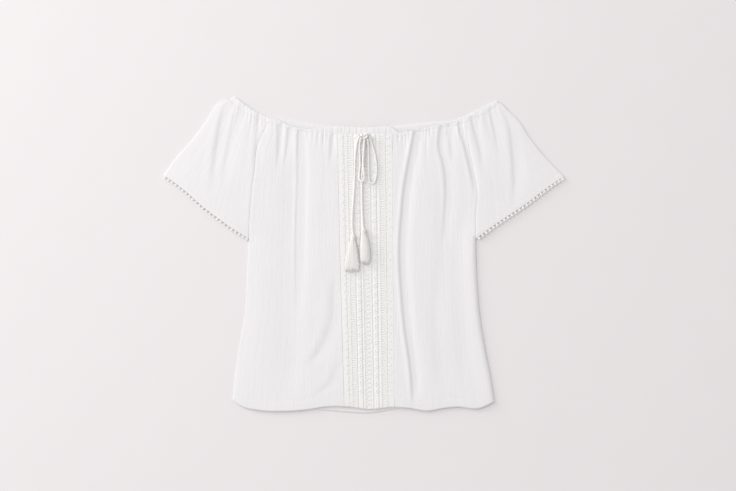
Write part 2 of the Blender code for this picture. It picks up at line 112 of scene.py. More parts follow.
# Sleeve hem from the tip to the underarm.
SLEEVE_HEM = {
    "left": ((-351, 138.5), (-336, 129), (-311, 109.5), (-283, 84.5), (-258.5, 66), (-234, 48), (-202, 28)),
    "right": ((348.6, 136), (331, 125.2), (311.5, 111), (288, 93), (263, 75.5), (237, 58.5), (194.3, 28)),
}

# Neck band: its top edge on each layer, how far the low edge lies below it, and how far outwards.
NECK = (
    # x, back top, back drop, front top, front drop, lean
    (-226.6, 276.5, 5.5, 276.3, 5.5, -12),
    (-215, 269.3, 9, 267.2, 8.5, -9.5),
    (-196, 257, 11, 253.5, 9, -7),
    (-172, 245.2, 12, 241.5, 9.5, -4.5),
    (-150, 239.5, 12.5, 234.5, 9, -3),
    (-128, 235, 13, 224.5, 7, -1.5),
    (-100, 230.5, 13, 219.6, 6.5, -1),
    (-75, 225.8, 13, 222.3, 10.5, 0),
    (-48, 223.8, 13, 223.5, 13, 0),
    (10, 222.1, 13, 221.9, 13, 0),
    (46, 224, 13, 223, 13, 0),
    (62, 225.4, 13, 213.2, 7.5, 0),
    (90, 228.8, 13, 218.2, 7, 1),
    (125, 232.4, 13, 226, 7.5, 2),
    (159, 235.6, 12.5, 232, 9, 3),
    (186, 247, 12, 243, 9.5, 5),
    (213, 261.5, 10, 257.8, 9.5, 8),
    (232.8, 270, 5.5, 269.8, 5.5, 5),
)

HEM = (
    # x, front y, back y
    (-230.5, -255, -255),
    (-213.5, -265.7, -264),
    (-183, -272.5, -270),
    (-143, -274.2, -271.5),
    (-106, -271.8, -270.5),
    (-60, -265.7, -273.6),
    (-29, -266.4, -276.2),
    (9.6, -270.7, -277.7),
    (47.5, -267.2, -271.5),
    (78, -268.6, -266.5),
    (109, -273.4, -269),
    (139, -268.6, -266),
    (161, -266.4, -264.5),
    (201, -268.6, -265),
    (226.8, -257, -257),
)

LACE = (
    # y, centre x, half width
    (240, 0.2, 48),
    (-40, 4.5, 46),
    (-280, 8.8, 43.5),
)

# Main folds of the front: how deep each trough is, how wide on its left and right, how high the
# crest on its left stands, over what length it fades at the top and the bottom, and its path.
FOLDS = (
    # depth, left, right, crest, top fade, bottom fade, path (x, y)
    (2.3, 3.2, 12, 0.5, 8, 150, ((-114, 212), (-113.5, 136), (-116, 57), (-118, -61), (-121, -120))),
    (1.7, 34, 17, 0.2, 130, 70, ((-117, 130), (-119, -30), (-124, -140), (-132, -258))),
    (1.5, 3.2, 8, 0.3, 8, 55, ((-147, 224), (-149, 190), (-152, 140))),
    (1.3, 3, 7, 0.3, 8, 50, ((-131, 219), (-134, 190), (-139, 145))),
    (1.2, 6, 14, 0.3, 10, 60, ((-216, 256), (-229, 214), (-239, 170), (-247, 110))),
    (1.9, 6, 15, 0.5, 10, 90, ((-238, 270), (-246, 240), (-253, 204), (-260, 159), (-266, 100))),
    (1.1, 4.5, 10, 0.2, 10, 60, ((-184, 242), (-188, 190), (-190, 130))),
    (0.9, 3, 6, 0.2, 8, 35, ((-57, 205), (-57, 184), (-60, 150))),
    (3.3, 3.4, 12, 1.0, 8, 60,
     ((90, 212), (81.5, 170), (72.5, 119), (67, 64), (64.5, 30), (64.5, -20), (66.5, -54), (71.5, -115),
      (84, -209), (87.5, -270))),
    (2.2, 3.6, 13, 0.4, 8, 110, ((135, 222), (132, 190), (140, 156), (144, 123), (141.5, 53), (139, 0))),
    (1.1, 13, 20, 0.2, 80, 60, ((141, 70), (134, -40), (128, -100), (135, -190), (138, -250))),
    (1.4, 3.2, 8, 0.3, 8, 45, ((149, 224), (151, 193), (155, 150))),
    (1.9, 3.4, 7, 0.5, 8, 50, ((166, 226), (174, 199), (183, 165), (191, 128), (195, 96))),
    (1.4, 4, 9, 0.3, 8, 50, ((188, 238), (203, 179), (209, 140))),
    (1.3, 4, 10, 0.3, 8, 50, ((220.5, 252), (229, 212), (238, 165))),
    (1.9, 5, 15, 0.4, 8, 90, ((242, 262), (256, 225), (261, 180), (263, 110), (258, 70))),
    (1.1, 8, 17, 0.4, 45, 30, ((-52, -70), (-54, -109), (-77, -168), (-99, -200))),
    (0.7, 7, 14, 0.2, 18, 18, ((-48, -200), (-55, -219), (-70, -236), (-90, -250))),
    (0.9, 15, 18, 0.2, 90, 70, ((172, 60), (166, -20), (170, -130), (178, -240))),
)

# How the gathers fan out below the neck band: sideways per unit of drop, at each x.
FAN = ((-250, -0.2), (-150, -0.06), (-60, -0.03), (40, 0), (130, 0.02), (180, 0.14), (250, 0.28))

# Tie
CORD = 3.2  # diameter
KNOT_CENTRE = (1.0, 207.5)
KNOT_HALF = (8.0, 5.6, 4.2)
# Routes of the tie over the front: x, y and how many cord diameters it lies above the cloth.
TIE_ROUTES = {
    "tie_tail_left": (
        (-8.4, 207.2, 0.4), (-11.8, 200, 0.1), (-13.8, 192, 0), (-15.6, 180, 0), (-16.8, 157, 0),
        (-17.3, 131, 0), (-19, 102, 0), (-21, 74, 0), (-21.4, 50, 0), (-20.2, 35.2, 0),
    ),
    "tie_tail_right": (
        (0.2, 201.7, 0), (-1.6, 183, 0), (-3.2, 157, 0), (-4.6, 131, 0), (-4.7, 103, 0),
        (-4.2, 78, 0), (-3.2, 60, 0), (-2.4, 46.6, 0),
    ),
    "tie_loop_left": (
        (-6.3, 203.6, 0.8), (-8.7, 192, 0.1), (-8.4, 174, 0), (-7.8, 155, 0), (-9.4, 139, 0.15),
        (-9.2, 131.6, 0.8), (-5.0, 127.4, 1.25), (-0.8, 131.8, 1.2), (-0.9, 140, 1.15), (-2.4, 156, 1.15),
        (-1.8, 175, 1.15), (-0.8, 192, 1.15), (-0.1, 201.5, 1.2),
    ),
    "tie_loop_right": (
        (5.5, 201.8, 0.9), (6.5, 190, 0.1), (6.9, 172, 0), (7.2, 151, 0), (7.7, 136, 0),
        (10.4, 125.6, 0), (15.2, 124.4, 0), (19.4, 132.6, 0), (21, 147, 0), (20.4, 162, 0),
        (17.6, 177, 0), (13.6, 190.5, 0.2), (9.2, 204.7, 0.9),
    ),
}
# Where the tails end inside the tassels' heads.
INTO_TASSEL = {"tie_tail_left": (-20.3, 29.5, 0.6), "tie_tail_right": (-2.1, 41, 0.6)}

# Tassels, from the head to the cut end of the strands.
TASSELS = {
    "tassel_left": (
        # y, centre x, half width, half height
        (34.7, -20.2, 2.9, 2.6),
        (31, -20.3, 4.2, 3.6),
        (26, -20.5, 3.7, 3.3),
        (18, -21, 6.6, 3.5),
        (0, -21.7, 10.8, 3.5),
        (-18, -21.9, 13, 2.9),
        (-29.8, -22, 12.4, 2.2),
    ),
    "tassel_right": (
        (46.1, -2.4, 2.9, 2.6),
        (43, -2.2, 4.3, 3.8),
        (38, -1.8, 3.8, 3.5),
        (30, -0.8, 6, 4),
        (12, 0.5, 8.3, 4.5),
        (-4, 0.9, 8.6, 4.3),
        (-12, 1, 7.4, 3.4),
        (-16.6, 1, 4.6, 2.4),
    ),
}

SIDES = ("left", "right")


def hex_colour(value):
    """An sRGB hex value as linear red, green, blue and alpha."""
    srgb = [int(value[k : k + 2], 16) / 255 for k in (0, 2, 4)]
    return (*[c / 12.92 if c <= 0.04045 else ((c + 0.055) / 1.055) ** 2.4 for c in srgb], 1.0)


# Curves and distances


def through(xs, ys, at):
    """A smooth curve y(x) through the points, each slope from its neighbours, read at some places."""
    xs, ys = np.asarray(xs, float), np.asarray(ys, float)
    at = np.clip(at, xs[0], xs[-1])
    slopes = np.gradient(ys, xs)
    i = np.clip(np.searchsorted(xs, at, side="right") - 1, 0, len(xs) - 2)
    step = xs[i + 1] - xs[i]
    t = (at - xs[i]) / step
    rise = t * t * (3 - 2 * t)
    start = t * (1 - t) ** 2 * step * slopes[i]
    end = t * t * (t - 1) * step * slopes[i + 1]
    return ys[i] * (1 - rise) + ys[i + 1] * rise + start + end


def run(points):
    """Distance along a chain of points on the plan to each of them."""
    steps = np.linalg.norm(np.diff(points[:, :2], axis=0), axis=1)
    return np.concatenate([[0], np.cumsum(steps)])


def evenly(points, count):
    """The same chain of points, spaced evenly."""
    length = run(points)
    at = np.linspace(0, length[-1], count)
    return np.stack([np.interp(at, length, points[:, k]) for k in range(points.shape[1])], axis=1)


def smooth_route(points, count):
    """Evenly spaced points on a smooth curve through the given ones."""
    points = np.asarray(points, float)
    chord = run(points)
    fine = np.linspace(0, chord[-1], 500)
    dense = np.stack([through(chord, points[:, k], fine) for k in range(points.shape[1])], axis=1)
    return evenly(dense, count)


def distance_to(chain, x, y):
    """Shortest distance on the plan from each point to a chain of points."""
    flat = np.stack([np.ravel(x), np.ravel(y)], axis=1)[:, None, :]
    start, end = chain[:-1], chain[1:]
    step = end - start
    t = np.clip(((flat - start) * step).sum(2) / (step * step).sum(1), 0, 1)
    nearest = start + t[..., None] * step
    return np.linalg.norm(flat - nearest, axis=2).min(1).reshape(np.shape(x))


def smoothstep(t):
    t = np.clip(t, 0, 1)
    return t * t * (3 - 2 * t)


def noise(across, along, seed):
    """Random heights from -1 to 1 at whole numbers, blended smoothly in between."""
    table = np.random.default_rng(seed).uniform(-1, 1, (256, 256))
    i, j = np.floor(across).astype(int), np.floor(along).astype(int)
    s, t = smoothstep(across - i), smoothstep(along - j)
    i, j = i % 256, j % 256
    low = table[i, j] * (1 - s) + table[(i + 1) % 256, j] * s
    high = table[i, (j + 1) % 256] * (1 - s) + table[(i + 1) % 256, (j + 1) % 256] * s
    return low * (1 - t) + high * t


def with_height(plan, height):
    return np.concatenate([plan, np.broadcast_to(height, plan.shape[:-1])[..., None]], axis=-1)


# The plan of the top


def body_edge(side, y):
    table = np.array(BODY_EDGE[::-1], float)
    return through(table[:, 0], table[:, 1 if side == "left" else 2], y)


def lace_middle(y):
    """Middle and half width of the lace panel at each height."""
    table = np.array(LACE[::-1], float)
    return through(table[:, 0], table[:, 1], y), through(table[:, 0], table[:, 2], y)


def lace_edge(side, y):
    centre, half = lace_middle(y)
    return centre + (half if side == "right" else -half)


def hem(layer, x):
    table = np.array(HEM, float)
    return through(table[:, 0], table[:, 1 if layer == "front" else 2], x)


def neck_band(layer, count=240):
    """Top and low edge of the neck band on one layer, from the left shoulder to the right."""
    x, back_top, back_drop, front_top, front_drop, lean = np.array(NECK, float).T
    top, drop = (front_top, front_drop) if layer == "front" else (back_top, back_drop)
    rows = smooth_route(np.stack([x, top, x + lean, top - drop], axis=1), count)
    return rows[:, :2], rows[:, 2:]


LOW_EDGE = {layer: neck_band(layer)[1] for layer in ("front", "back")}


def band_foot(layer, x):
    """Low edge of the neck band on the plan."""
    low = LOW_EDGE[layer]
    return np.interp(x, low[:, 0], low[:, 1])


def below_band(layer, x):
    """Where the panels' gathered top edges end, just inside the neck band."""
    return band_foot(layer, x) + TUCK


def seam_top(layer, edge):
    """Where a seam that runs up the plan meets the neck band."""
    y = BODY_EDGE[1][0]
    for _ in range(SEAM_STEPS):
        y = float(below_band(layer, edge(y)))
    return y


def side_chain(side, top=UNDERARM_Y, bottom=BODY_EDGE[-1][0]):
    y = np.linspace(top, bottom, 30)
    return np.stack([body_edge(side, y), y], axis=1)


SIDE_SEAMS = [side_chain(s) for s in SIDES]
RAGLANS = [side_chain(s, BODY_EDGE[0][0], UNDERARM_Y) for s in SIDES]
FOLDED_EDGES = [smooth_route(SHOULDER[s], 30) for s in SIDES] + SIDE_SEAMS[:1]
HEM_X = np.linspace(HEM[0][0], HEM[-1][0], 60)
FRONT_HEM = [np.stack([HEM_X, hem("front", HEM_X)], axis=1)]
SLEEVE_HEMS = [smooth_route(SLEEVE_HEM[s], 20) for s in SIDES]


def nearest(chains, x, y):
    return np.min([distance_to(chain, x, y) for chain in chains], axis=0)


def fold_relief(x, y):
    """Sum of the troughs and crests of the main folds."""
    total = np.zeros(np.shape(x))
    for depth, left, right, crest, top_fade, bottom_fade, path in FOLDS:
        path = np.array(path[::-1], float)
        off = x - through(path[:, 1], path[:, 0], y)
        strength = smoothstep((path[-1, 1] + top_fade - y) / top_fade)
        strength *= smoothstep((y - path[0, 1]) / bottom_fade)
        width = np.where(off < 0, left, right)
        total -= depth * strength * np.exp(-((off / width) ** 2))
        total += crest * strength * np.exp(-(((off + 1.9 * left) / (1.3 * left)) ** 2))
    return total


def front_height(x, y, finer=0.0):
    """Middle of the front cloth: lofted, lower at its edges, with its folds, and clear of the back cloth."""
    folded = nearest(FOLDED_EDGES, x, y)
    opened = nearest(SLEEVE_HEMS + FRONT_HEM, x, y)
    full = nearest(SIDE_SEAMS[1:], x, y)
    edge = np.minimum(folded, full)
    swell = FULLNESS * np.exp(-((full / FULL_REACH) ** 2))
    lift = (LOFT * (1 - np.exp(-folded / ROLL)) + swell) * (1 - np.exp(-full / FULL_ROLL))
    lift = lift * (1 - (1 - HEM_SHARE) * np.exp(-opened / HEM_ROLL))
    lift = lift + (fold_relief(x, y) + finer) * (1 - np.exp(-((edge / FOLD_FADE) ** 2)))
    resting = 0.5 * (lift + np.sqrt(lift * lift + SOFT_REST**2))
    return FRONT_MID + resting - SOFT_REST / 2 * np.exp(-edge / FULL_ROLL)


# Finer relief of the cloth


def gathers(layer, x, y):
    """Short creases that run down from the neck band, uneven in place, depth and length.

    Each is a bell-shaped trough along a line that leans as the cloth fans out, and fades over its length.
    """
    rng = np.random.default_rng(7 if layer == "front" else 8)
    fan_x, fan = np.array(FAN).T
    drop = np.maximum(band_foot(layer, x) - y, 0)
    total = np.zeros(np.shape(x))
    start = -GATHERS_REACH
    while start < GATHERS_REACH:
        depth, width = rng.uniform(0.2, 1.0), rng.uniform(1.1, 2.6)
        length = rng.uniform(11, 30) * (1.8 if rng.random() < 0.16 else 1)
        lean = np.interp(start, fan_x, fan) + rng.uniform(-0.05, 0.05)
        off = x - start - lean * drop
        bell = np.exp(-((off / (width * (1 + drop / length))) ** 2))
        total -= depth * bell * np.exp(-((drop / length) ** 2))
        start += rng.uniform(3.6, 9.5)
    return total


def crinkle(across, along, spacing, seed=1):
    """Ribs of the crinkled crepe: noise drawn out along the cloth at two widths, on lines that wander."""
    wander = 1.6 * noise(across / 31, along / 90, seed)
    fine = noise((across + wander) / (0.5 * spacing), along / 38, seed + 1)
    broad = noise((across + wander) / (1.3 * spacing), along / 120, seed + 2)
    return 0.55 * fine + 0.45 * broad


def turned_hem(distance, depth, across, seed):
    """A hem turned under: the cloth stands up by one layer as far as the stitch line, which pulls it in."""
    layer = 0.14 * smoothstep((depth + 0.6 - distance) / 2.4)
    pull = 0.16 * np.exp(-(((distance - depth) / 1.3) ** 2))
    pucker = 0.12 * noise(across / 2.6, distance / 9, seed) * np.exp(-(((distance - depth) / 6) ** 2))
    return layer - pull + pucker


def seam_pull(distance):
    """A sewn seam: a narrow groove with the turnings under a low ridge on each side."""
    return -0.22 * np.exp(-((distance / 2.0) ** 2)) + 0.05 * np.exp(-(((distance - 4.5) / 2.6) ** 2))


def front_cloth(x, y, across, along):
    """Middle of the front cloth with its gathers, crinkle, turned hems and seams."""
    cloth = bpy.context.scene.top_cloth
    gather = cloth.gather_height / MM * gathers("front", x, y)
    height = front_height(x, y, gather)
    relief = cloth.crinkle_height / MM * crinkle(across, along, cloth.rib_spacing / MM)
    relief += turned_hem(nearest(FRONT_HEM, x, y), HEM_TURN, x, 21)
    relief += turned_hem(nearest(SLEEVE_HEMS, x, y), SLEEVE_TURN, x + y, 22)
    relief += seam_pull(nearest(RAGLANS, x, y))
    relief -= 0.4 * np.exp(-((nearest(SIDE_SEAMS[1:], x, y) / 1.4) ** 2))
    lowest = BACK_MID + cloth.thickness / MM + LEAST_GAP
    above = height + relief - lowest
    return lowest + 0.5 * (above + np.sqrt(above**2 + TOUCH_DOWN**2))


# Meshes


def placed(points):
    """Points in metres about the middle of the top."""
    return (np.asarray(points, float) - (*CENTRE, 0)) * MM


def make_piece(name, parts, material, nodes=()):
    """One object from several parts, each given as points, quads and pattern places in millimetres."""
    points, quads, pattern, count = [], [], [], 0
    for part_points, part_quads, part_pattern in parts:
        points.append(np.reshape(part_points, (-1, 3)))
        quads.append(np.reshape(part_quads, (-1, 4)) + count)
        pattern.append(np.reshape(part_pattern, (-1, 2)))
        count += len(points[-1])
    points, quads = placed(np.concatenate(points)), np.concatenate(quads)
    pattern = np.concatenate(pattern) * MM
    mesh = bpy.data.meshes.new(name)
    mesh.vertices.add(len(points))
    mesh.vertices.foreach_set("co", points.astype(np.float32).ravel())
    mesh.loops.add(quads.size)
    mesh.loops.foreach_set("vertex_index", quads.astype(np.int32).ravel())
    mesh.polygons.add(len(quads))
    mesh.polygons.foreach_set("loop_start", np.arange(0, quads.size, 4, dtype=np.int32))
    mesh.polygons.foreach_set("use_smooth", np.full(len(quads), True))
    layer = mesh.uv_layers.new(name="Cloth")
    layer.data.foreach_set("uv", pattern[quads.ravel()].astype(np.float32).ravel())
    mesh.update(calc_edges=True)
    mesh.validate()
    piece = bpy.data.objects.new(name, mesh)
    bpy.context.scene.collection.objects.link(piece)
    mesh.materials.append(material)
    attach(piece, "root")
    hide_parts(*nodes)
    return piece


def shell(middle, thickness, pattern, looped=False):
    """A closed wall: the middle surface, a grid of rows by columns, moved half its thickness each way."""
    across = np.roll(middle, -1, 1) - np.roll(middle, 1, 1)
    if not looped:
        across[:, 0] = middle[:, 1] - middle[:, 0]
        across[:, -1] = middle[:, -1] - middle[:, -2]
    normal = np.cross(np.gradient(middle, axis=0), across)
    normal /= np.linalg.norm(normal, axis=2, keepdims=True)
    rows, columns = middle.shape[:2]
    offset = normal * (np.broadcast_to(thickness, (rows, columns)) / 2)[..., None]
    points = np.concatenate([(middle + offset).reshape(-1, 3), (middle - offset).reshape(-1, 3)])
    under = rows * columns
    number = np.arange(under).reshape(rows, columns)
    if looped:
        number = np.concatenate([number, number[:, :1]], axis=1)
    a, b, c, d = number[:-1, :-1], number[:-1, 1:], number[1:, 1:], number[1:, :-1]
    upper = np.stack([a, d, c, b], axis=-1).reshape(-1, 4)
    lower = np.stack([a, b, c, d], axis=-1).reshape(-1, 4) + under
    if looped:
        rims = [number[0], number[-1][::-1]]
    else:
        rims = [np.concatenate([number[0], number[1:, -1], number[-1, -2::-1], number[-2::-1, 0]])]
    edges = [np.stack([r[:-1], r[1:], r[1:] + under, r[:-1] + under], axis=1) for r in rims]
    return points, np.concatenate([upper, lower, *edges]), np.concatenate([pattern.reshape(-1, 2)] * 2)


def cap(ring):
    """Quads that close a ring with an even number of points."""
    half = len(ring) // 2
    return [(ring[k], ring[k + 1], ring[-k - 2], ring[-k - 1]) for k in range(half - 1)]


def tube(path, radius, sides=8, flatten=1.0, closed=False):
    """A round section carried along a path that lies near level; radius may change along and round it."""
    path = np.asarray(path, float)
    count = len(path)
    ahead = np.roll(path, -1, 0) - np.roll(path, 1, 0) if closed else np.gradient(path, axis=0)
    ahead /= np.linalg.norm(ahead, axis=1, keepdims=True)
    side = np.cross(ahead, (0, 0, 1))
    side /= np.linalg.norm(side, axis=1, keepdims=True)
    up = np.cross(side, ahead)
    turn = np.linspace(0, 2 * math.pi, sides, endpoint=False)
    if np.ndim(radius) == 1:
        radius = np.reshape(radius, (-1, 1))
    radius = np.broadcast_to(radius, (count, sides))
    rise = np.broadcast_to(flatten, (count, 1)) * np.sin(turn)
    ring = np.cos(turn)[:, None] * side[:, None] + rise[..., None] * up[:, None]
    points = path[:, None] + radius[..., None] * ring
    number = np.arange(count * sides).reshape(count, sides)
    if closed:
        number = np.concatenate([number, number[:1]])
    wrapped = np.concatenate([number, number[:, :1]], axis=1)
    corners = [wrapped[:-1, :-1], wrapped[1:, :-1], wrapped[1:, 1:], wrapped[:-1, 1:]]
    quads = np.stack(corners, axis=-1).reshape(-1, 4)
    if not closed:
        quads = np.concatenate([quads, cap(number[0]), cap(number[-1][::-1])])
    steps = np.concatenate([[0], np.cumsum(np.linalg.norm(np.diff(path, axis=0), axis=1))])
    girth = 2 * math.pi * radius.mean() / sides * np.arange(sides)
    pattern = np.stack(np.broadcast_arrays(girth[None], steps[:, None]), axis=-1)
    return points, quads, pattern


def repeated(part, places):
    """Copies of a small part, one at each place, as one part; it may come ready turned for each place."""
    points, quads, pattern = part
    if np.ndim(points) != 3 or len(points) != len(places):
        points = np.reshape(points, (1, -1, 3))
    count = points.shape[1]
    many = points + np.asarray(places, float)[:, None]
    numbers = np.reshape(quads, (-1, 4))[None] + (np.arange(len(places)) * count)[:, None, None]
    return many, numbers, np.broadcast_to(np.reshape(pattern, (-1, 2)), (len(places), count, 2))


def patch(top, bottom, left, right, u, v):
    """A plan filled in between four edges: the blend of the two pairs less the blend of the corners."""

    def at(edge, share):
        length = run(edge)
        return np.stack([np.interp(share * length[-1], length, edge[:, k]) for k in (0, 1)], axis=-1)

    u, v = u[None, :, None], v[:, None, None]
    rows = (1 - v) * at(top, u[0, :, 0])[None] + v * at(bottom, u[0, :, 0])[None]
    columns = (1 - u) * at(left, v[:, 0, 0])[:, None] + u * at(right, v[:, 0, 0])[:, None]
    corners = (1 - v) * ((1 - u) * top[0] + u * top[-1]) + v * ((1 - u) * bottom[0] + u * bottom[-1])
    return rows + columns - corners


def seam_line(edge, top, bottom, count=120):
    y = np.linspace(top, bottom, count)
    return np.stack([edge(y), y], axis=1)


def outline(layer, left_edge, right_edge):
    """The four edges of a body panel: down its left, down its right, along its top and along its hem."""
    sides = []
    for edge in (left_edge, right_edge):
        low = BODY_EDGE[-1][0]
        for _ in range(SEAM_STEPS):
            low = float(hem(layer, edge(low)))
        sides.append(seam_line(edge, seam_top(layer, edge), low))
    left, right = sides
    top_x = np.linspace(left[0, 0], right[0, 0], 160)
    low_x = np.linspace(left[-1, 0], right[-1, 0], 160)
    top = np.stack([top_x, below_band(layer, top_x)], axis=1)
    bottom = np.stack([low_x, hem(layer, low_x)], axis=1)
    return left, right, top, bottom


def grain(u, v, width, length):
    """Places on the cloth's own grain, across and along, for a patch of about that width and length."""
    return np.stack(np.broadcast_arrays(u[None, :] * width, v[:, None] * length), axis=-1)


# Materials

BAND_PER_STEP = 0.314  # Wave scale that gives about one band for each step of its pattern


def add_node(tree, kind, sockets=None, **settings):
    """One node: settings are its own, and sockets are values for its inputs or outputs that feed them."""
    made = tree.nodes.new(kind)
    for name, value in settings.items():
        setattr(made, name, value)
    for name, value in (sockets or {}).items():
        if isinstance(value, bpy.types.NodeSocket):
            tree.links.new(value, made.inputs[name])
        else:
            made.inputs[name].default_value = value
    return made


def blank_material(name):
    """A material with a bare Principled shader, its node tree and the shader."""
    material = bpy.data.materials.new(name)
    material.use_nodes = True
    material.node_tree.nodes.clear()
    output = add_node(material.node_tree, "ShaderNodeOutputMaterial")
    shader = add_node(material.node_tree, "ShaderNodeBsdfPrincipled")
    material.node_tree.links.new(shader.outputs["BSDF"], output.inputs["Surface"])
    return material, material.node_tree, shader


def per_metre(*pitches_mm):
    """Pattern steps per metre for each pitch in millimetres, as a Mapping scale."""
    return [1000 / pitch for pitch in pitches_mm] + [1.0] * (3 - len(pitches_mm))


def woven(name, light, shade, thread_mm, crease_mm, crease_depth_mm, thread_depth_mm, sheen):
    """White cloth: slightly uneven colour, threads both ways and creases drawn out along the cloth."""
    material, tree, shader = blank_material(name)
    places = add_node(tree, "ShaderNodeUVMap", uv_map="Cloth").outputs["UV"]

    def scaled(*pitches):
        mapping = {"Vector": places, "Scale": per_metre(*pitches)}
        return add_node(tree, "ShaderNodeMapping", mapping).outputs["Vector"]

    blotch = add_node(tree, "ShaderNodeTexNoise", {"Vector": scaled(38, 85), "Scale": 1.0, "Detail": 3.0})
    colour = add_node(tree, "ShaderNodeMix", {"Factor": blotch.outputs["Fac"]}, data_type="RGBA")
    for name_in, value in (("A", light), ("B", shade)):
        socket = next(s for s in colour.inputs if s.name == name_in and s.type == "RGBA")
        socket.default_value = hex_colour(value)
    mixed = next(s for s in colour.outputs if s.type == "RGBA")
    tree.links.new(mixed, shader.inputs["Base Color"])
    threads = add_node(tree, "ShaderNodeMath", operation="MULTIPLY")
    wave = {"Vector": scaled(thread_mm, thread_mm), "Scale": BAND_PER_STEP, "Distortion": 1.6, "Detail": 2.0,
            "Detail Scale": 0.7}
    for place, way in enumerate("XY"):
        yarn = add_node(tree, "ShaderNodeTexWave", wave, bands_direction=way)
        tree.links.new(yarn.outputs["Fac"], threads.inputs[place])
    creases = add_node(tree, "ShaderNodeTexNoise", {
        "Vector": scaled(crease_mm, crease_mm * 9),
        "Scale": 1.0,
        "Detail": 4.0,
        "Roughness": 0.62,
        "Distortion": 0.4,
    })
    folded = add_node(tree, "ShaderNodeBump", {
        "Height": creases.outputs["Fac"],
        "Distance": crease_depth_mm * MM,
        "Strength": 1.0,
    })
    fine = add_node(tree, "ShaderNodeBump", {
        "Height": threads.outputs["Value"],
        "Distance": thread_depth_mm * MM,
        "Strength": 1.0,
        "Normal": folded.outputs["Normal"],
    })
    tree.links.new(fine.outputs["Normal"], shader.inputs["Normal"])
    shader.inputs["Roughness"].default_value = 0.88
    shader.inputs["IOR"].default_value = 1.47
    shader.inputs["Specular IOR Level"].default_value = 0.25
    shader.inputs["Sheen Weight"].default_value = sheen
    shader.inputs["Sheen Roughness"].default_value = 0.5
    return material


def crinkle_crepe():
    """Crinkled cotton crepe, woven with high-twist yarn: matt, with uneven ribs that catch the light."""
    look = bpy.context.scene.top_look
    return bpy.data.materials.get("crinkle_crepe") or woven(
        "crinkle_crepe", "F3F2F3", "EFEDEE", 1.1, 2.3, 0.35 * look.crease_strength, 0.05, 0.12)


def cotton_lace():
    """Mercerised cotton thread, schiffli-worked: close satin threads, a little brighter than the crepe."""
    return bpy.data.materials.get("cotton_lace") or woven(
        "cotton_lace", "F9F8F6", "F5F4F2", 0.8, 1.4, 0.12, 0.09, 0.1)


def twisted_cotton():
    """Twisted cotton cord: soft strands round the cord, each with fine threads along it."""
    return bpy.data.materials.get("twisted_cotton") or woven(
        "twisted_cotton", "F8F7F4", "F3F2EF", 0.7, 1.0, 0.15, 0.08, 0.15)


def viscose_strand():
    """Viscose tassel yarn: fine, slightly glossy strands."""
    material = bpy.data.materials.get("viscose_strand")
    if material is None:
        material = woven("viscose_strand", "F6F5F1", "EFEDE8", 0.6, 0.8, 0.12, 0.06, 0.2)
        material.node_tree.nodes["Principled BSDF"].inputs["Roughness"].default_value = 0.6
    return material


# The pieces


def body_panel(name, layer, left_edge, right_edge, columns, rows, nodes):
    """A body panel between two edges: its plan filled in and raised to the height of its layer."""
    left, right, top, bottom = outline(layer, left_edge, right_edge)
    u, v = np.linspace(0, 1, columns), np.linspace(0, 1, rows)
    plan = patch(top, bottom, left, right, u, v)
    x, y = plan[..., 0], plan[..., 1]
    pattern = grain(u, v, run(bottom)[-1], run(left)[-1])
    across, along = pattern[..., 0] + left[0, 0], pattern[..., 1]
    cloth = bpy.context.scene.top_cloth
    thickness = cloth.thickness / MM
    if layer == "front":
        height = front_cloth(x, y, across, along)
    else:
        ribs = 0.5 * cloth.crinkle_height / MM * crinkle(across, along, cloth.rib_spacing / MM, 5)
        height = np.maximum(BACK_MID - BACK_SINK + ribs + 0.15 * gathers("back", x, y), thickness / 2 + SEAT)
    parts = [shell(with_height(plan, height), thickness, pattern)]
    return make_piece(name, parts, crinkle_crepe(), nodes)


class TOP_OT_body(Operator):
    """Sew the back and the two front body panels of crinkled crepe"""

    bl_idname = "top.body"
    bl_label = "Body panels"

    def execute(self, context):
        def side(name):
            return lambda y: body_edge(name, y)

        def lace(name):
            return lambda y: lace_edge(name, y)

        back = body_panel("back_crepe", "back", side("left"), side("right"), 150, 150, ["back"])
        left = body_panel("front_left_crepe", "front", side("left"), lace("left"), 184, 200, ["front_left"])
        right = body_panel("front_right_crepe", "front", lace("right"), side("right"), 168, 200,
                           ["front_right"])
        return {"FINISHED"}


SLEEVE_GRAIN = (110, 190)  # width and length of a sleeve's pattern


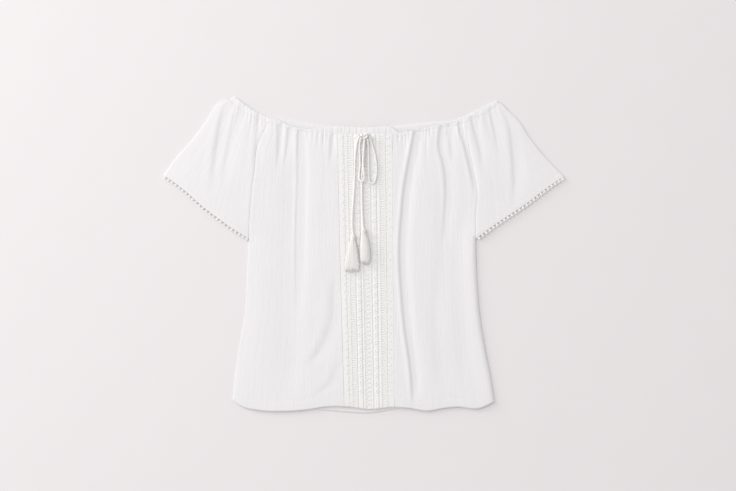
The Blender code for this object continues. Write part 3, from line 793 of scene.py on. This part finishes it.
def sleeve(side, back_columns, front_columns, rows):
    """One flutter sleeve: back layer, fold along the shoulder and front layer, filled in between edges."""
    cloth = bpy.context.scene.top_cloth

    def seam(y):
        return body_edge(side, y)

    edges = {}
    shoulder = smooth_route(SHOULDER[side], 120)
    opening = smooth_route(SLEEVE_HEM[side], 120)
    for layer in ("front", "back"):
        raglan = seam_line(seam, seam_top(layer, seam), UNDERARM_Y)
        neck_x = np.linspace(shoulder[0, 0], raglan[0, 0], 120)
        neck = np.stack([neck_x, below_band(layer, neck_x)], axis=1)
        neck[0] = shoulder[0]
        edges[layer] = (neck, raglan)
    v = np.linspace(0, 1, rows)
    angle = np.radians(BEND_POINTS)
    start = FOLD_BEND / SLEEVE_ACROSS
    inward = {
        "back": np.linspace(1, start, back_columns),
        "front": np.linspace(start, 1, front_columns),
    }
    sheets, patterns = {}, {}
    for layer, share in inward.items():
        neck, raglan = edges[layer]
        plan = patch(neck, opening, shoulder, raglan, share, v)
        pattern = grain(share if layer == "front" else -share, v, *SLEEVE_GRAIN)
        x, y = plan[..., 0], plan[..., 1]
        ribs = crinkle(pattern[..., 0], pattern[..., 1], cloth.rib_spacing / MM, 5)
        if layer == "front":
            height = front_cloth(x, y, pattern[..., 0], pattern[..., 1])
        else:
            height = BACK_MID - BACK_SINK + 0.5 * cloth.crinkle_height / MM * ribs
            height = np.maximum(height, cloth.thickness / MM / 2 + SEAT)
        sheets[layer], patterns[layer] = with_height(plan, height), pattern
    share = start * (1 - np.sin(angle))
    neck, raglan = edges["front"]
    plan = patch(neck, opening, shoulder, raglan, share, v)
    low, high = sheets["back"][:, -1:, 2], sheets["front"][:, :1, 2]
    bend = with_height(plan, low + (high - low) * (1 - np.cos(angle)) / 2)
    turn = grain(np.interp(angle, (0, math.pi), (-start, start)), v, *SLEEVE_GRAIN)
    middle = np.concatenate([sheets["back"], bend, sheets["front"]], axis=1)
    pattern = np.concatenate([patterns["back"], turn, patterns["front"]], axis=1)
    if side == "right":
        middle, pattern = middle[:, ::-1], pattern[:, ::-1]
    parts = [shell(middle, cloth.thickness / MM, pattern)]
    return make_piece(f"sleeve_{side}_crepe", parts, crinkle_crepe(), [f"sleeve_{side}"])


class TOP_OT_sleeves(Operator):
    """Sew the two raglan flutter sleeves, folded along the top edge and open at the hem"""

    bl_idname = "top.sleeves"
    bl_label = "Sleeves"

    def execute(self, context):
        for side in SIDES:
            piece = sleeve(side, 40, 92, 150)
        return {"FINISHED"}


BAND_ROWS, BAND_COLUMNS = 11, 470  # points across the band, and along each layer
BAND_TAPER = 22  # the casing thins out over this distance at the shoulders
BAND_GATHER = 0.55  # share of the panels' gathers that runs up through the casing
BAND_TUCK = 0.35  # its low edge dips by this into the panels' gathered edge


class TOP_OT_neck_band(Operator):
    """Sew the elasticated neck band: a puffed casing gathered all round, laid flat as a ring"""

    bl_idname = "top.neck_band"
    bl_label = "Neck band"

    def execute(self, context):
        cloth = context.scene.top_cloth
        v = np.linspace(0, 1, BAND_ROWS)[:, None]
        angle = np.radians(BEND_POINTS)
        layers = {}
        for layer in ("front", "back"):
            top, low = neck_band(layer, BAND_COLUMNS)
            plan = top[None] * (1 - v[..., None]) + low[None] * v[..., None]
            layers[layer] = plan[:, 2:-2]
        arc = np.linspace(0, run(neck_band("front", BAND_COLUMNS)[0])[-1], BAND_COLUMNS)[2:-2]
        ends = smoothstep(np.minimum(arc, arc[-1] + arc[0] - arc) / BAND_TAPER)
        puff = cloth.band_puff / MM * np.sin(math.pi * np.clip(v, 0.03, 0.97)) ** 0.8 * (1 - 0.8 * v)
        puff = puff * (0.25 + 0.75 * ends)
        middles, thick = {}, {}
        for layer, seed in (("front", 31), ("back", 35)):
            ruche = noise(arc / 1.7, 0.35 * v + 3, seed) + 0.6 * noise(arc / 4.1, 0.6 * v + 8, seed + 1)
            thick[layer] = cloth.thickness / MM + puff * (1 + 0.2 * ruche)
            plan = layers[layer].copy()
            if layer == "front":
                x, y = plan[..., 0], plan[..., 1]
                gather = BAND_GATHER * cloth.gather_height / MM * gathers("front", x, y)
                height = front_height(x, y, gather) + 0.08 * ruche * np.sin(math.pi * v) ** 0.5 * ends
                height = height - BAND_TUCK * smoothstep((v - 0.7) / 0.3) * ends
            else:
                height = thick[layer] / 2 + 0.04
            middles[layer] = with_height(plan, height)
        front, back = middles["front"], middles["back"][:, ::-1]
        thick_front, thick_back = thick["front"], thick["back"][:, ::-1]

        def bend(first, last, out):
            """From the end of one layer round to the start of the next, in a half turn."""
            share = (1 - np.cos(angle))[None, :, None] / 2
            level = first[:, None] * (1 - share) + last[:, None] * share
            level[..., 0] += out * FOLD_BEND * np.sin(angle)
            return level

        far = bend(front[:, -1], back[:, 0], 1)
        near = bend(back[:, -1], front[:, 0], -1)
        turn = np.full((BAND_ROWS, len(angle)), cloth.thickness / MM)
        middle = np.concatenate([front, far, back, near], axis=1)
        thickness = np.concatenate([thick_front, turn, thick_back, turn], axis=1)
        u = np.linspace(0, 2 * arc[-1], middle.shape[1])
        pattern = np.stack(np.broadcast_arrays(u[None], 12 * v), axis=-1)
        parts = [shell(middle, thickness, pattern, looped=True)]
        band = make_piece("neck_band_casing", parts, crinkle_crepe(), ["neck_band"])
        return {"FINISHED"}


# Half of the lace panel, outwards from its middle: solid strips and the openwork between them.
LACE_HALF = 48.0
LACE_LONG = 478.0
LACE_STRIPS = (
    # inner edge, outer edge, raised middle, columns
    (6.3, 8.5, 0.15, 5),
    (10.8, 18.9, 0.05, 8),
    (20.9, 24.5, 0.1, 6),
    (31.5, 34.7, 0.1, 6),
    (38.5, 48.0, 0.0, 9),
)
LACE_RUNGS = (
    # inner edge, outer edge, pitch, width at the middle, flare at the ends
    (8.2, 11.1, 4.2, 1.1, 1.4),
    (18.6, 21.2, 7.2, 2.4, 2.2),
    (24.2, 31.8, 4.2, 1.7, 0.9),
    (34.4, 38.8, 7.2, 2.6, 2.6),
)
ZIGZAG_PITCH = 7.5
ROSETTE_AT, ROSETTE_PITCH = 14.9, 14.2
PICOT_AT, PICOT_PITCH = 41.6, 14.2
LACE_CORDS = (7.4, 24.3, 31.7, 34.9, 38.4)  # raised threads from the middle
LACE_ROW = 2.4  # between rows of points down the panel
LACE_HEM_RISE = 0.35  # the lace stands up by this over the hem's turning
GROUND_UNDER, GROUND_THICK = 0.26, 0.3  # the net ground that shows through the openings
RUNG_THREAD = 0.75  # share of the lace thickness
ZIGZAG_REACH, ZIGZAG_ROUND, ZIGZAG_WEAVE = 6.6, 1.45, 0.12  # half width, rounding, over and under
ZIGZAG_THREAD, ZIGZAG_STEP = 0.75, 0.85
ROSETTE_RADIUS, ROSETTE_THREAD, ROSETTE_SWELL, PETALS = 2.5, 1.75, 0.5, 6
PICOT_RADIUS, PICOT_THREAD = 1.35, 0.85
ROSETTE_UP, PICOT_UP, CORD_UP = 0.3, 0.28, 0.25  # heights above the lace
CORD_STEP, CORD_THREAD, CORD_SWELL, CORD_STITCH = 1.9, 0.52, 0.12, 3.8  # a thread whipped over a core


def down_lace(across, down, up=0.0):
    """Places at one distance from the lace's middle, at the given distances down from the band."""
    return np.stack(np.broadcast_arrays(across, -down, up), axis=1)


def level_ring(turn, radius, height):
    """A level circle of points, one for each angle."""
    return np.stack([radius * np.cos(turn), radius * np.sin(turn), np.full(len(turn), height)], axis=1)


def on_lace(part):
    """A part drawn flat laid on the panel: s across from its middle, -t down from the band, h above."""
    points, quads, pattern = part
    points = np.reshape(points, (-1, 3))
    s, t, h = points[:, 0], -points[:, 1], points[:, 2]
    centre, half = lace_middle(208 - t)
    x = centre + s * half / LACE_HALF
    top, low = below_band("front", x), hem("front", x)
    y = top - t / LACE_LONG * (top - low)
    stitched = LACE_HEM_RISE * smoothstep((t - LACE_LONG + HEM_TURN) / 1.5)
    return np.stack([x, y, front_height(x, y) + h + stitched], axis=1), quads, pattern


class TOP_OT_lace(Operator):
    """Work the lace insertion: solid strips, rungs, crossed zigzags, rosettes and raised threads"""

    bl_idname = "top.lace"
    bl_label = "Lace insertion"

    def execute(self, context):
        lace = context.scene.top_lace
        thread = lace.thread / MM
        t = np.arange(0, LACE_LONG + 1, LACE_ROW)
        t[-1] = LACE_LONG
        parts = []
        for inner, outer, raised, columns in LACE_STRIPS:
            for s in (np.linspace(inner, outer, columns), np.linspace(-outer, -inner, columns)):
                crown = raised * (1 - (2 * (s - s.mean()) / (outer - inner)) ** 2)
                middle = np.stack(np.broadcast_arrays(s[None], -t[:, None], crown[None]), axis=-1)
                pattern = np.stack(np.broadcast_arrays(s[None], t[:, None]), axis=-1)
                parts.append(on_lace(shell(middle, thread, pattern)))
        s = np.linspace(-LACE_HALF, LACE_HALF, 30)
        ground = np.stack(np.broadcast_arrays(s[None], -t[:, None], -GROUND_UNDER), axis=-1)
        parts.append(on_lace(shell(ground, GROUND_THICK, ground[..., :2])))
        for inner, outer, pitch, width, flare in LACE_RUNGS:
            s = np.linspace(inner, outer, 5) - (inner + outer) / 2
            spread = width + flare * (2 * s / (outer - inner)) ** 2
            row = np.linspace(0.5, -0.5, 3)[:, None] * spread
            middle = np.stack(np.broadcast_arrays(s[None], row, 0.0), axis=-1)
            rung = shell(middle, RUNG_THREAD * thread, middle[..., :2])
            places = np.arange(pitch, LACE_LONG - HEM_TURN * 0.4, pitch)
            for sign in (-1, 1):
                parts.append(on_lace(repeated(rung, down_lace(sign * (inner + outer) / 2, places))))
        along = np.arange(0, LACE_LONG, ZIGZAG_STEP)
        for phase in (0, 0.5):
            swing = 2 * np.abs(2 * ((along / (2 * ZIGZAG_PITCH) + phase) % 1) - 1) - 1
            across = ZIGZAG_REACH * np.sin(ZIGZAG_ROUND * swing) / math.sin(ZIGZAG_ROUND)
            weave = ZIGZAG_WEAVE * np.cos(2 * math.pi * along / ZIGZAG_PITCH + 2 * math.pi * phase)
            path = np.stack([across, -along, weave], axis=1)
            parts.append(on_lace(tube(path, ZIGZAG_THREAD, sides=6, flatten=0.5)))
        panel = make_piece("lace_panel_openwork", parts, cotton_lace(), ["lace_panel"])

        turn = np.linspace(0, 2 * math.pi, 24, endpoint=False)
        petals = (ROSETTE_THREAD + ROSETTE_SWELL * np.cos(PETALS * turn))[:, None] * np.ones((1, 8))
        rosette = level_ring(turn, ROSETTE_RADIUS, ROSETTE_UP)
        rosette = tube(rosette, petals, sides=8, flatten=0.28, closed=True)
        picot = level_ring(turn[::2], PICOT_RADIUS, PICOT_UP)
        picot = tube(picot, PICOT_THREAD, sides=6, flatten=0.5, closed=True)
        line = np.arange(0, LACE_LONG, CORD_STEP)
        swell = CORD_THREAD + CORD_SWELL * np.cos(2 * math.pi * line / CORD_STITCH)
        parts = []
        for sign in (-1, 1):
            for part, at, pitch in ((rosette, ROSETTE_AT, ROSETTE_PITCH), (picot, PICOT_AT, PICOT_PITCH)):
                places = np.arange(pitch / 2, LACE_LONG - HEM_TURN, pitch)
                parts.append(on_lace(repeated(part, down_lace(sign * at, places))))
            for at in LACE_CORDS:
                parts.append(on_lace(tube(down_lace(sign * at, line, CORD_UP), swell, sides=6, flatten=0.6)))
        make_piece("lace_embroidery", parts, cotton_lace())
        return {"FINISHED"}


def turned(part, angles):
    """A small part turned about Z by each angle, ready to be repeated at as many places."""
    points, quads, pattern = part
    points = np.reshape(points, (-1, 3))
    cos, sin = np.cos(angles)[:, None], np.sin(angles)[:, None]
    x = points[None, :, 0] * cos - points[None, :, 1] * sin
    y = points[None, :, 0] * sin + points[None, :, 1] * cos
    return np.stack(np.broadcast_arrays(x, y, points[None, :, 2]), axis=-1), quads, pattern


def sleeve_hem_line(side):
    """240 points along a sleeve hem, and the direction on the plan that leads away from the cloth."""
    cloth = smooth_route(SLEEVE_HEM[side], 240)
    step = np.gradient(cloth, axis=0)
    away = np.stack([-step[:, 1], step[:, 0]], axis=1) * (1 if side == "right" else -1)
    return cloth, away / np.linalg.norm(away, axis=1, keepdims=True)


# Picot edging: a plump loop on two feet, from a header sewn along the hem.
LOOP_HALF = (1.15, 1.35)  # across and out
LOOP_OUT, LOOP_UP, LOOP_THREAD = 2.8, 0.6, 1.15
FOOT = ((-2.4, 0.2, 0), (-1.2, 0.9, 0), (0, 1.3, 0), (1.2, 0.9, 0), (2.4, 0.2, 0))
FOOT_THREAD, HEADER_THREAD, HEADER_OUT = 0.42, 0.5, 0.2
BACK_STAGGER = 0.45  # part of a pitch by which the back layer's loops are shifted
WHIP_IN, WHIP_UP, WHIP_SWELL, WHIP_TURN = 1.7, 0.45, 0.1, 1.9  # thread that sews the header on
TIP_FREE = 2  # the loops stop this far from the underarm


class TOP_OT_trims(Operator):
    """Crochet the picot edging round each sleeve hem, on both layers"""

    bl_idname = "top.trims"
    bl_label = "Picot edging"

    def execute(self, context):
        pitch = context.scene.top_lace.picot_pitch / MM
        turn = np.linspace(0, 2 * math.pi, 12, endpoint=False)
        wide, long = LOOP_HALF
        circle = [wide * np.cos(turn), long * np.sin(turn) + LOOP_OUT, np.full(12, LOOP_UP)]
        loop = tube(np.stack(circle, axis=1), LOOP_THREAD, sides=8, flatten=0.9, closed=True)
        foot = tube(np.array(FOOT), FOOT_THREAD, sides=6)
        for side in SIDES:
            cloth, away = sleeve_hem_line(side)
            length = run(cloth)[-1]
            at = np.arange(pitch / 2, length - TIP_FREE, pitch)
            parts = []
            for layer in ("front", "back"):
                front = layer == "front"
                height = front_height(cloth[:, 0], cloth[:, 1]) if front else np.full(len(cloth), BACK_MID)
                header = with_height(cloth + HEADER_OUT * away, height)
                shifted = at + (0 if front else pitch * BACK_STAGGER)
                shifted = shifted[shifted < length - TIP_FREE]
                places = np.stack([np.interp(shifted, run(cloth), header[:, k]) for k in range(3)], axis=1)
                facing = np.stack([np.interp(shifted, run(cloth), away[:, k]) for k in range(2)], axis=1)
                angles = np.arctan2(-facing[:, 0], facing[:, 1])
                parts += [repeated(turned(part, angles), places) for part in (loop, foot)]
                parts.append(tube(header[::2], HEADER_THREAD, sides=6))
                if front:
                    inner = with_height(cloth - WHIP_IN * away, height + WHIP_UP)[::2]
                    swell = FOOT_THREAD + WHIP_SWELL * np.cos(np.arange(len(inner)) * WHIP_TURN)
                    parts.append(tube(inner, swell, sides=6, flatten=0.8))
            make_piece(f"picot_edging_{side}", parts, cotton_lace(), [f"sleeve_trim_{side}"])
        return {"FINISHED"}


def on_front(x, y):
    """Top face of the CAD front cloth, which the tie and tassels lie on."""
    return front_height(np.asarray(x, float), np.asarray(y, float)) + WALL / 2


def tie_path(name, spacing=0.7):
    """A stretch of the tie along its route, lying on the front or on the stretch below it."""
    route = np.array([*TIE_ROUTES[name], *([INTO_TASSEL[name]] if name in INTO_TASSEL else [])], float)
    route = smooth_route(route, int(run(route)[-1] / spacing))
    height = on_front(route[:, 0], route[:, 1]) + CORD_GAP + CORD / 2 + route[:, 2] * CORD
    return np.column_stack([route[:, :2], height])


def twisted_cord(path, radius, strands, lay):
    """A cord of strands: its radius swells once for each strand, and turns once in each lay."""
    sides = 6 * strands
    steps = np.concatenate([[0], np.cumsum(np.linalg.norm(np.diff(path, axis=0), axis=1))])
    turn = np.linspace(0, 2 * math.pi, sides, endpoint=False)
    lobes = np.abs(np.cos(strands / 2 * (turn[None] - 2 * math.pi * steps[:, None] / lay)))
    return tube(path, radius * (0.86 + 0.16 * lobes), sides)


class TOP_OT_tie(Operator):
    """Tie the bow: knot, two loops and two tails of one cord, with a tassel on each tail"""

    bl_idname = "top.tie"
    bl_label = "Tie and tassels"

    def execute(self, context):
        tie = context.scene.top_tie
        radius, strands, lay = tie.diameter / MM / 2, tie.strands, tie.lay / MM
        turn = np.linspace(0, 2 * math.pi, 120, endpoint=False)
        # A three-lobed knot: the overhand knot's closed curve, fitted into the knot's half sizes.
        knot = [np.sin(turn) + 2 * np.sin(2 * turn), np.cos(turn) - 2 * np.cos(2 * turn), -np.sin(3 * turn)]
        knot = np.stack(knot, axis=1)
        knot *= (np.array(KNOT_HALF) - radius) / np.abs(knot).max(0)
        span = np.linspace(-KNOT_HALF[0], KNOT_HALF[0], 17)
        floor = on_front(KNOT_CENTRE[0] + span, np.full(17, KNOT_CENTRE[1])).max() + CORD_GAP
        knot += (*KNOT_CENTRE, floor + KNOT_HALF[2])
        knot = tube(knot, radius, sides=12, closed=True)
        make_piece("bow_knot", [knot], twisted_cotton(), ["tie_knot"])
        for name, seed in (("tassel_left", 41), ("tassel_right", 42)):
            make_tassel(name, seed, tie.tassel_strands)
        for name in TIE_ROUTES:
            path = tie_path(name)
            cord = make_piece(name.replace("tie", "bow"), [twisted_cord(path, radius, strands, lay)],
                              twisted_cotton(), [name])
        return {"FINISHED"}


TASSEL_GAP = 0.45  # the tassels lie this far above the front
STRAND = 0.55  # radius
STRAND_UP = 0.3  # the strands and their core lie this far above that
STRAND_EDGE = 0.5  # the outermost strands lie this far inside the outline
STRAND_IN = 1.0  # the strands start this far inside the head
UNEVEN = (0.13, 1.3)  # longest share cut off a strand, and how few are cut that short
SWAY = 0.5
CORE_IN = (0.75, 0.4)  # the core lies this far inside the outline, sideways and upwards
CORE_END = 0.88  # share of the way down that the core reaches
BINDING, BINDING_PITCH = 0.25, 1.3  # turns of thread round the head


def make_tassel(name, seed, count):
    """A tassel: a bound head, a core, and strands that fan out from its neck to uneven cut ends."""
    rng = np.random.default_rng(seed)
    y, centre, half, thick = np.array(TASSELS[name], float)[::-1].T
    over = np.linspace(-1, 1, 7)[:, None]
    floor = on_front(centre + half * over, np.broadcast_to(y, (7, len(y)))).max(0) + TASSEL_GAP

    def outlined(down):
        """Middle, half width, half height and underside of the tassel at each distance along it."""
        return [np.interp(down, y, values) for values in (centre, half, thick, floor)]

    neck, end = y[-3], y[0]
    share = np.linspace(0, 1, 16)[None]
    low = neck + (end - neck) * (1 - rng.uniform(0, UNEVEN[0], (count, 1)) ** UNEVEN[1])
    down = neck + STRAND_IN + (low - neck - STRAND_IN) * share
    angle = rng.uniform(-0.25, math.pi + 0.25, (count, 1))
    out = np.sqrt(rng.uniform(0.72, 1, (count, 1)))
    sway = SWAY * np.sin(share * rng.uniform(2, 5, (count, 1)) + rng.uniform(0, 6, (count, 1))) * share
    middle, wide, tall, under = outlined(down)
    x = middle + (wide - STRAND_EDGE) * np.cos(angle) * out + sway
    z = under + STRAND_UP + (tall - STRAND_EDGE) * (1 + out * np.sin(angle))
    thinned = STRAND * (1 - 0.15 * share[0])
    parts = [tube(path, thinned, sides=6) for path in np.stack([x, down, z], axis=-1)]

    core_y = np.linspace(neck, end * CORE_END + neck * (1 - CORE_END), 24)
    middle, wide, tall, under = outlined(core_y)
    wide, tall = wide - CORE_IN[0], tall - CORE_IN[1]
    core = np.stack([middle, core_y, under + tall + STRAND_UP], axis=1)
    parts.append(tube(core, wide, sides=16, flatten=(tall / wide)[:, None]))

    head_y = np.linspace(y[-1] + 0.4, neck - 1.5, 40)
    middle, wide, tall, under = outlined(head_y)
    wide = wide + BINDING * np.cos(2 * math.pi * head_y / BINDING_PITCH)
    wide[[0, -1]] *= 0.55
    head = np.stack([middle, head_y, under + tall], axis=1)
    parts.append(tube(head, wide, sides=16, flatten=float((tall / wide).mean())))
    return make_piece(f"{name}_strands", parts, viscose_strand(), [name])


STITCH_UP = 0.12  # a stitch's middle lies this far above the cloth


class TOP_OT_stitches(Operator):
    """Sew the rows of stitches that hold the body hem and the sleeve hems"""

    bl_idname = "top.stitches"
    bl_label = "Stitches"

    def execute(self, context):
        cloth = context.scene.top_cloth
        pitch = cloth.stitch_pitch / MM
        half = 0.36 * pitch
        line = np.array([(0, -half, -0.12), (0, -0.4 * half, 0.1), (0, 0.4 * half, 0.1), (0, half, -0.12)])
        stitch = tube(line, np.array([0.16, 0.27, 0.27, 0.16]), sides=6)
        x = np.linspace(-224, 220, 300)
        rows = [np.stack([x, hem("front", x) + HEM_TURN], axis=1)]
        for side in SIDES:
            edge, away = sleeve_hem_line(side)
            rows.append((edge - SLEEVE_TURN * away)[20:-16])
        parts = []
        for row in rows:
            length = run(row)
            at = np.arange(1, length[-1], pitch)
            places = np.stack([np.interp(at, length, row[:, k]) for k in range(2)], axis=1)
            ahead = np.stack([np.interp(at, length, np.gradient(row[:, k])) for k in range(2)], axis=1)
            zeros = np.zeros(len(at))
            height = front_cloth(places[:, 0], places[:, 1], zeros, zeros)
            height += cloth.thickness / MM / 2 + STITCH_UP
            angles = np.arctan2(-ahead[:, 0], ahead[:, 1])
            parts.append(repeated(turned(stitch, angles), with_height(places, height)))
        make_piece("hem_stitches", parts, cotton_lace())
        return {"FINISHED"}


# The stage

CAMERA_UP = 2.2  # metres above the ground
PICTURE_WIDE = 1.288  # metres of ground across the picture
PICTURE_MIDDLE = (0.0073, 0.01625)
SENSOR = 36.0  # millimetres
BOARD_REACH = 30.0  # metres from the middle
LIGHTS = (
    # name, place in metres, size in metres, tint
    ("window_light", (-4.2, 2.6, 1.5), 2.0, "FFFCFD"),
    ("skylight", (-2.4, 1.4, 3.6), 2.4, "FFFDFD"),
)


def studio_board():
    """Matt painted board: off-white, with the faintest mottle and no gloss."""
    material, tree, shader = blank_material("studio_board")
    places = add_node(tree, "ShaderNodeTexCoord").outputs["Object"]
    mottle = add_node(tree, "ShaderNodeTexNoise", {"Vector": places, "Scale": 14.0, "Detail": 4.0})
    ramp = add_node(tree, "ShaderNodeValToRGB", {"Fac": mottle.outputs["Fac"]})
    ramp.color_ramp.elements[0].color = hex_colour("EEEBEB")
    ramp.color_ramp.elements[1].color = hex_colour("F0EDED")
    tree.links.new(ramp.outputs["Color"], shader.inputs["Base Color"])
    shader.inputs["Roughness"].default_value = 0.95
    shader.inputs["Specular IOR Level"].default_value = 0.1
    return material


class TOP_OT_stage(Operator):
    """Set the pale board, the soft light from the upper left and the camera straight above"""

    bl_idname = "top.stage"
    bl_label = "Stage"

    def execute(self, context):
        look = context.scene.top_look
        mesh = bpy.data.meshes.new("board")
        reach = BOARD_REACH
        corners = [(-reach, -reach, 0), (reach, -reach, 0), (reach, reach, 0), (-reach, reach, 0)]
        mesh.from_pydata(corners, [], [(0, 1, 2, 3)])
        board = bpy.data.objects.new("board", mesh)
        mesh.materials.append(studio_board())
        context.scene.collection.objects.link(board)

        world = bpy.data.worlds.new("room")
        world.use_nodes = True
        world.node_tree.nodes["Background"].inputs["Color"].default_value = hex_colour("FFFEFF")
        world.node_tree.nodes["Background"].inputs["Strength"].default_value = look.room_light
        context.scene.world = world

        for name, place, size, tint in LIGHTS:
            light = bpy.data.lights.new(name, "AREA")
            light.energy, light.size = getattr(look, name), size
            light.color = hex_colour(tint)[:3]
            lamp = bpy.data.objects.new(name, light)
            lamp.location = place
            aim = -np.array(place)  # towards the middle of the top
            lamp.rotation_euler = (math.atan2(math.hypot(aim[0], aim[1]), -aim[2]), 0,
                                   math.atan2(-aim[0], aim[1]))
            context.scene.collection.objects.link(lamp)

        lens = bpy.data.cameras.new("camera")
        lens.sensor_width = SENSOR
        lens.lens = SENSOR * CAMERA_UP / PICTURE_WIDE
        camera = bpy.data.objects.new("camera", lens)
        camera.location = (*PICTURE_MIDDLE, CAMERA_UP)
        context.scene.collection.objects.link(camera)
        context.scene.camera = camera
        context.scene.view_settings.view_transform = "Standard"
        return {"FINISHED"}


# Settings, panel and run


class TopCloth(PropertyGroup):
    thickness: FloatProperty(
        name="Cloth thickness", description="Crepe as it is woven", default=0.0007, min=0.0002,
        unit="LENGTH")
    rib_spacing: FloatProperty(
        name="Rib spacing", description="From one crinkle rib to the next", default=0.004, unit="LENGTH")
    crinkle_height: FloatProperty(
        name="Crinkle height", description="How far the ribs stand up", default=0.00014, unit="LENGTH")
    gather_height: FloatProperty(
        name="Gather depth", description="Depth of the creases below the band", default=0.0013,
        unit="LENGTH")
    band_puff: FloatProperty(
        name="Band puff", description="How far the neck casing swells", default=0.0006, unit="LENGTH")
    stitch_pitch: FloatProperty(
        name="Stitch length", description="From one stitch to the next", default=0.0031, unit="LENGTH")


class TopLace(PropertyGroup):
    thread: FloatProperty(
        name="Lace thickness", description="Thickness of the solid strips", default=0.0006, unit="LENGTH")
    picot_pitch: FloatProperty(
        name="Picot pitch", description="From one picot to the next on the sleeve hem", default=0.0078,
        unit="LENGTH")


class TopTie(PropertyGroup):
    diameter: FloatProperty(
        name="Cord diameter", description="Across the tie", default=0.0032, unit="LENGTH")
    lay: FloatProperty(
        name="Cord lay", description="Length of one turn of the strands", default=0.009, unit="LENGTH")
    strands: IntProperty(
        name="Cord strands", description="Strands twisted together", default=3, min=2)
    tassel_strands: IntProperty(
        name="Tassel strands", description="Strands in each tassel", default=110, min=12)


class TopLook(PropertyGroup):
    crease_strength: FloatProperty(
        name="Fine creases", description="Strength of the creases too fine to model", default=1.0)
    room_light: FloatProperty(name="Room light", description="Even light from all round", default=0.66)
    window_light: FloatProperty(
        name="Window light", description="Low light from the upper left", default=105, subtype="POWER")
    skylight: FloatProperty(
        name="Skylight", description="Soft light from high up on the left", default=55, subtype="POWER")


GROUPS = {"top_cloth": TopCloth, "top_lace": TopLace, "top_tie": TopTie, "top_look": TopLook}
OPERATORS = (TOP_OT_stage, TOP_OT_tie, TOP_OT_body, TOP_OT_sleeves, TOP_OT_neck_band, TOP_OT_lace,
             TOP_OT_trims, TOP_OT_stitches)


class TOP_PT_panel(Panel):
    """Sizes of the top, and a button for each group of pieces"""

    bl_label = "Off-shoulder top"
    bl_idname = "TOP_PT_panel"
    bl_space_type = "VIEW_3D"
    bl_region_type = "UI"
    bl_category = "Top"

    def draw(self, context):
        for group, kind in GROUPS.items():
            box = self.layout.box()
            for name in kind.__annotations__:
                box.prop(getattr(context.scene, group), name)
        for operator in OPERATORS:
            self.layout.operator(operator.bl_idname)


CLASSES = (*GROUPS.values(), *OPERATORS, TOP_PT_panel)


def register():
    for item in CLASSES:
        bpy.utils.register_class(item)
    for group, kind in GROUPS.items():
        setattr(bpy.types.Scene, group, PointerProperty(type=kind))


def unregister():
    for group in GROUPS:
        delattr(bpy.types.Scene, group)
    for item in reversed(CLASSES):
        bpy.utils.unregister_class(item)


def main():
    register()
    for operator in OPERATORS:
        group, name = operator.bl_idname.split(".")
        getattr(getattr(bpy.ops, group), name)()


if __name__ == "__main__":
    main()
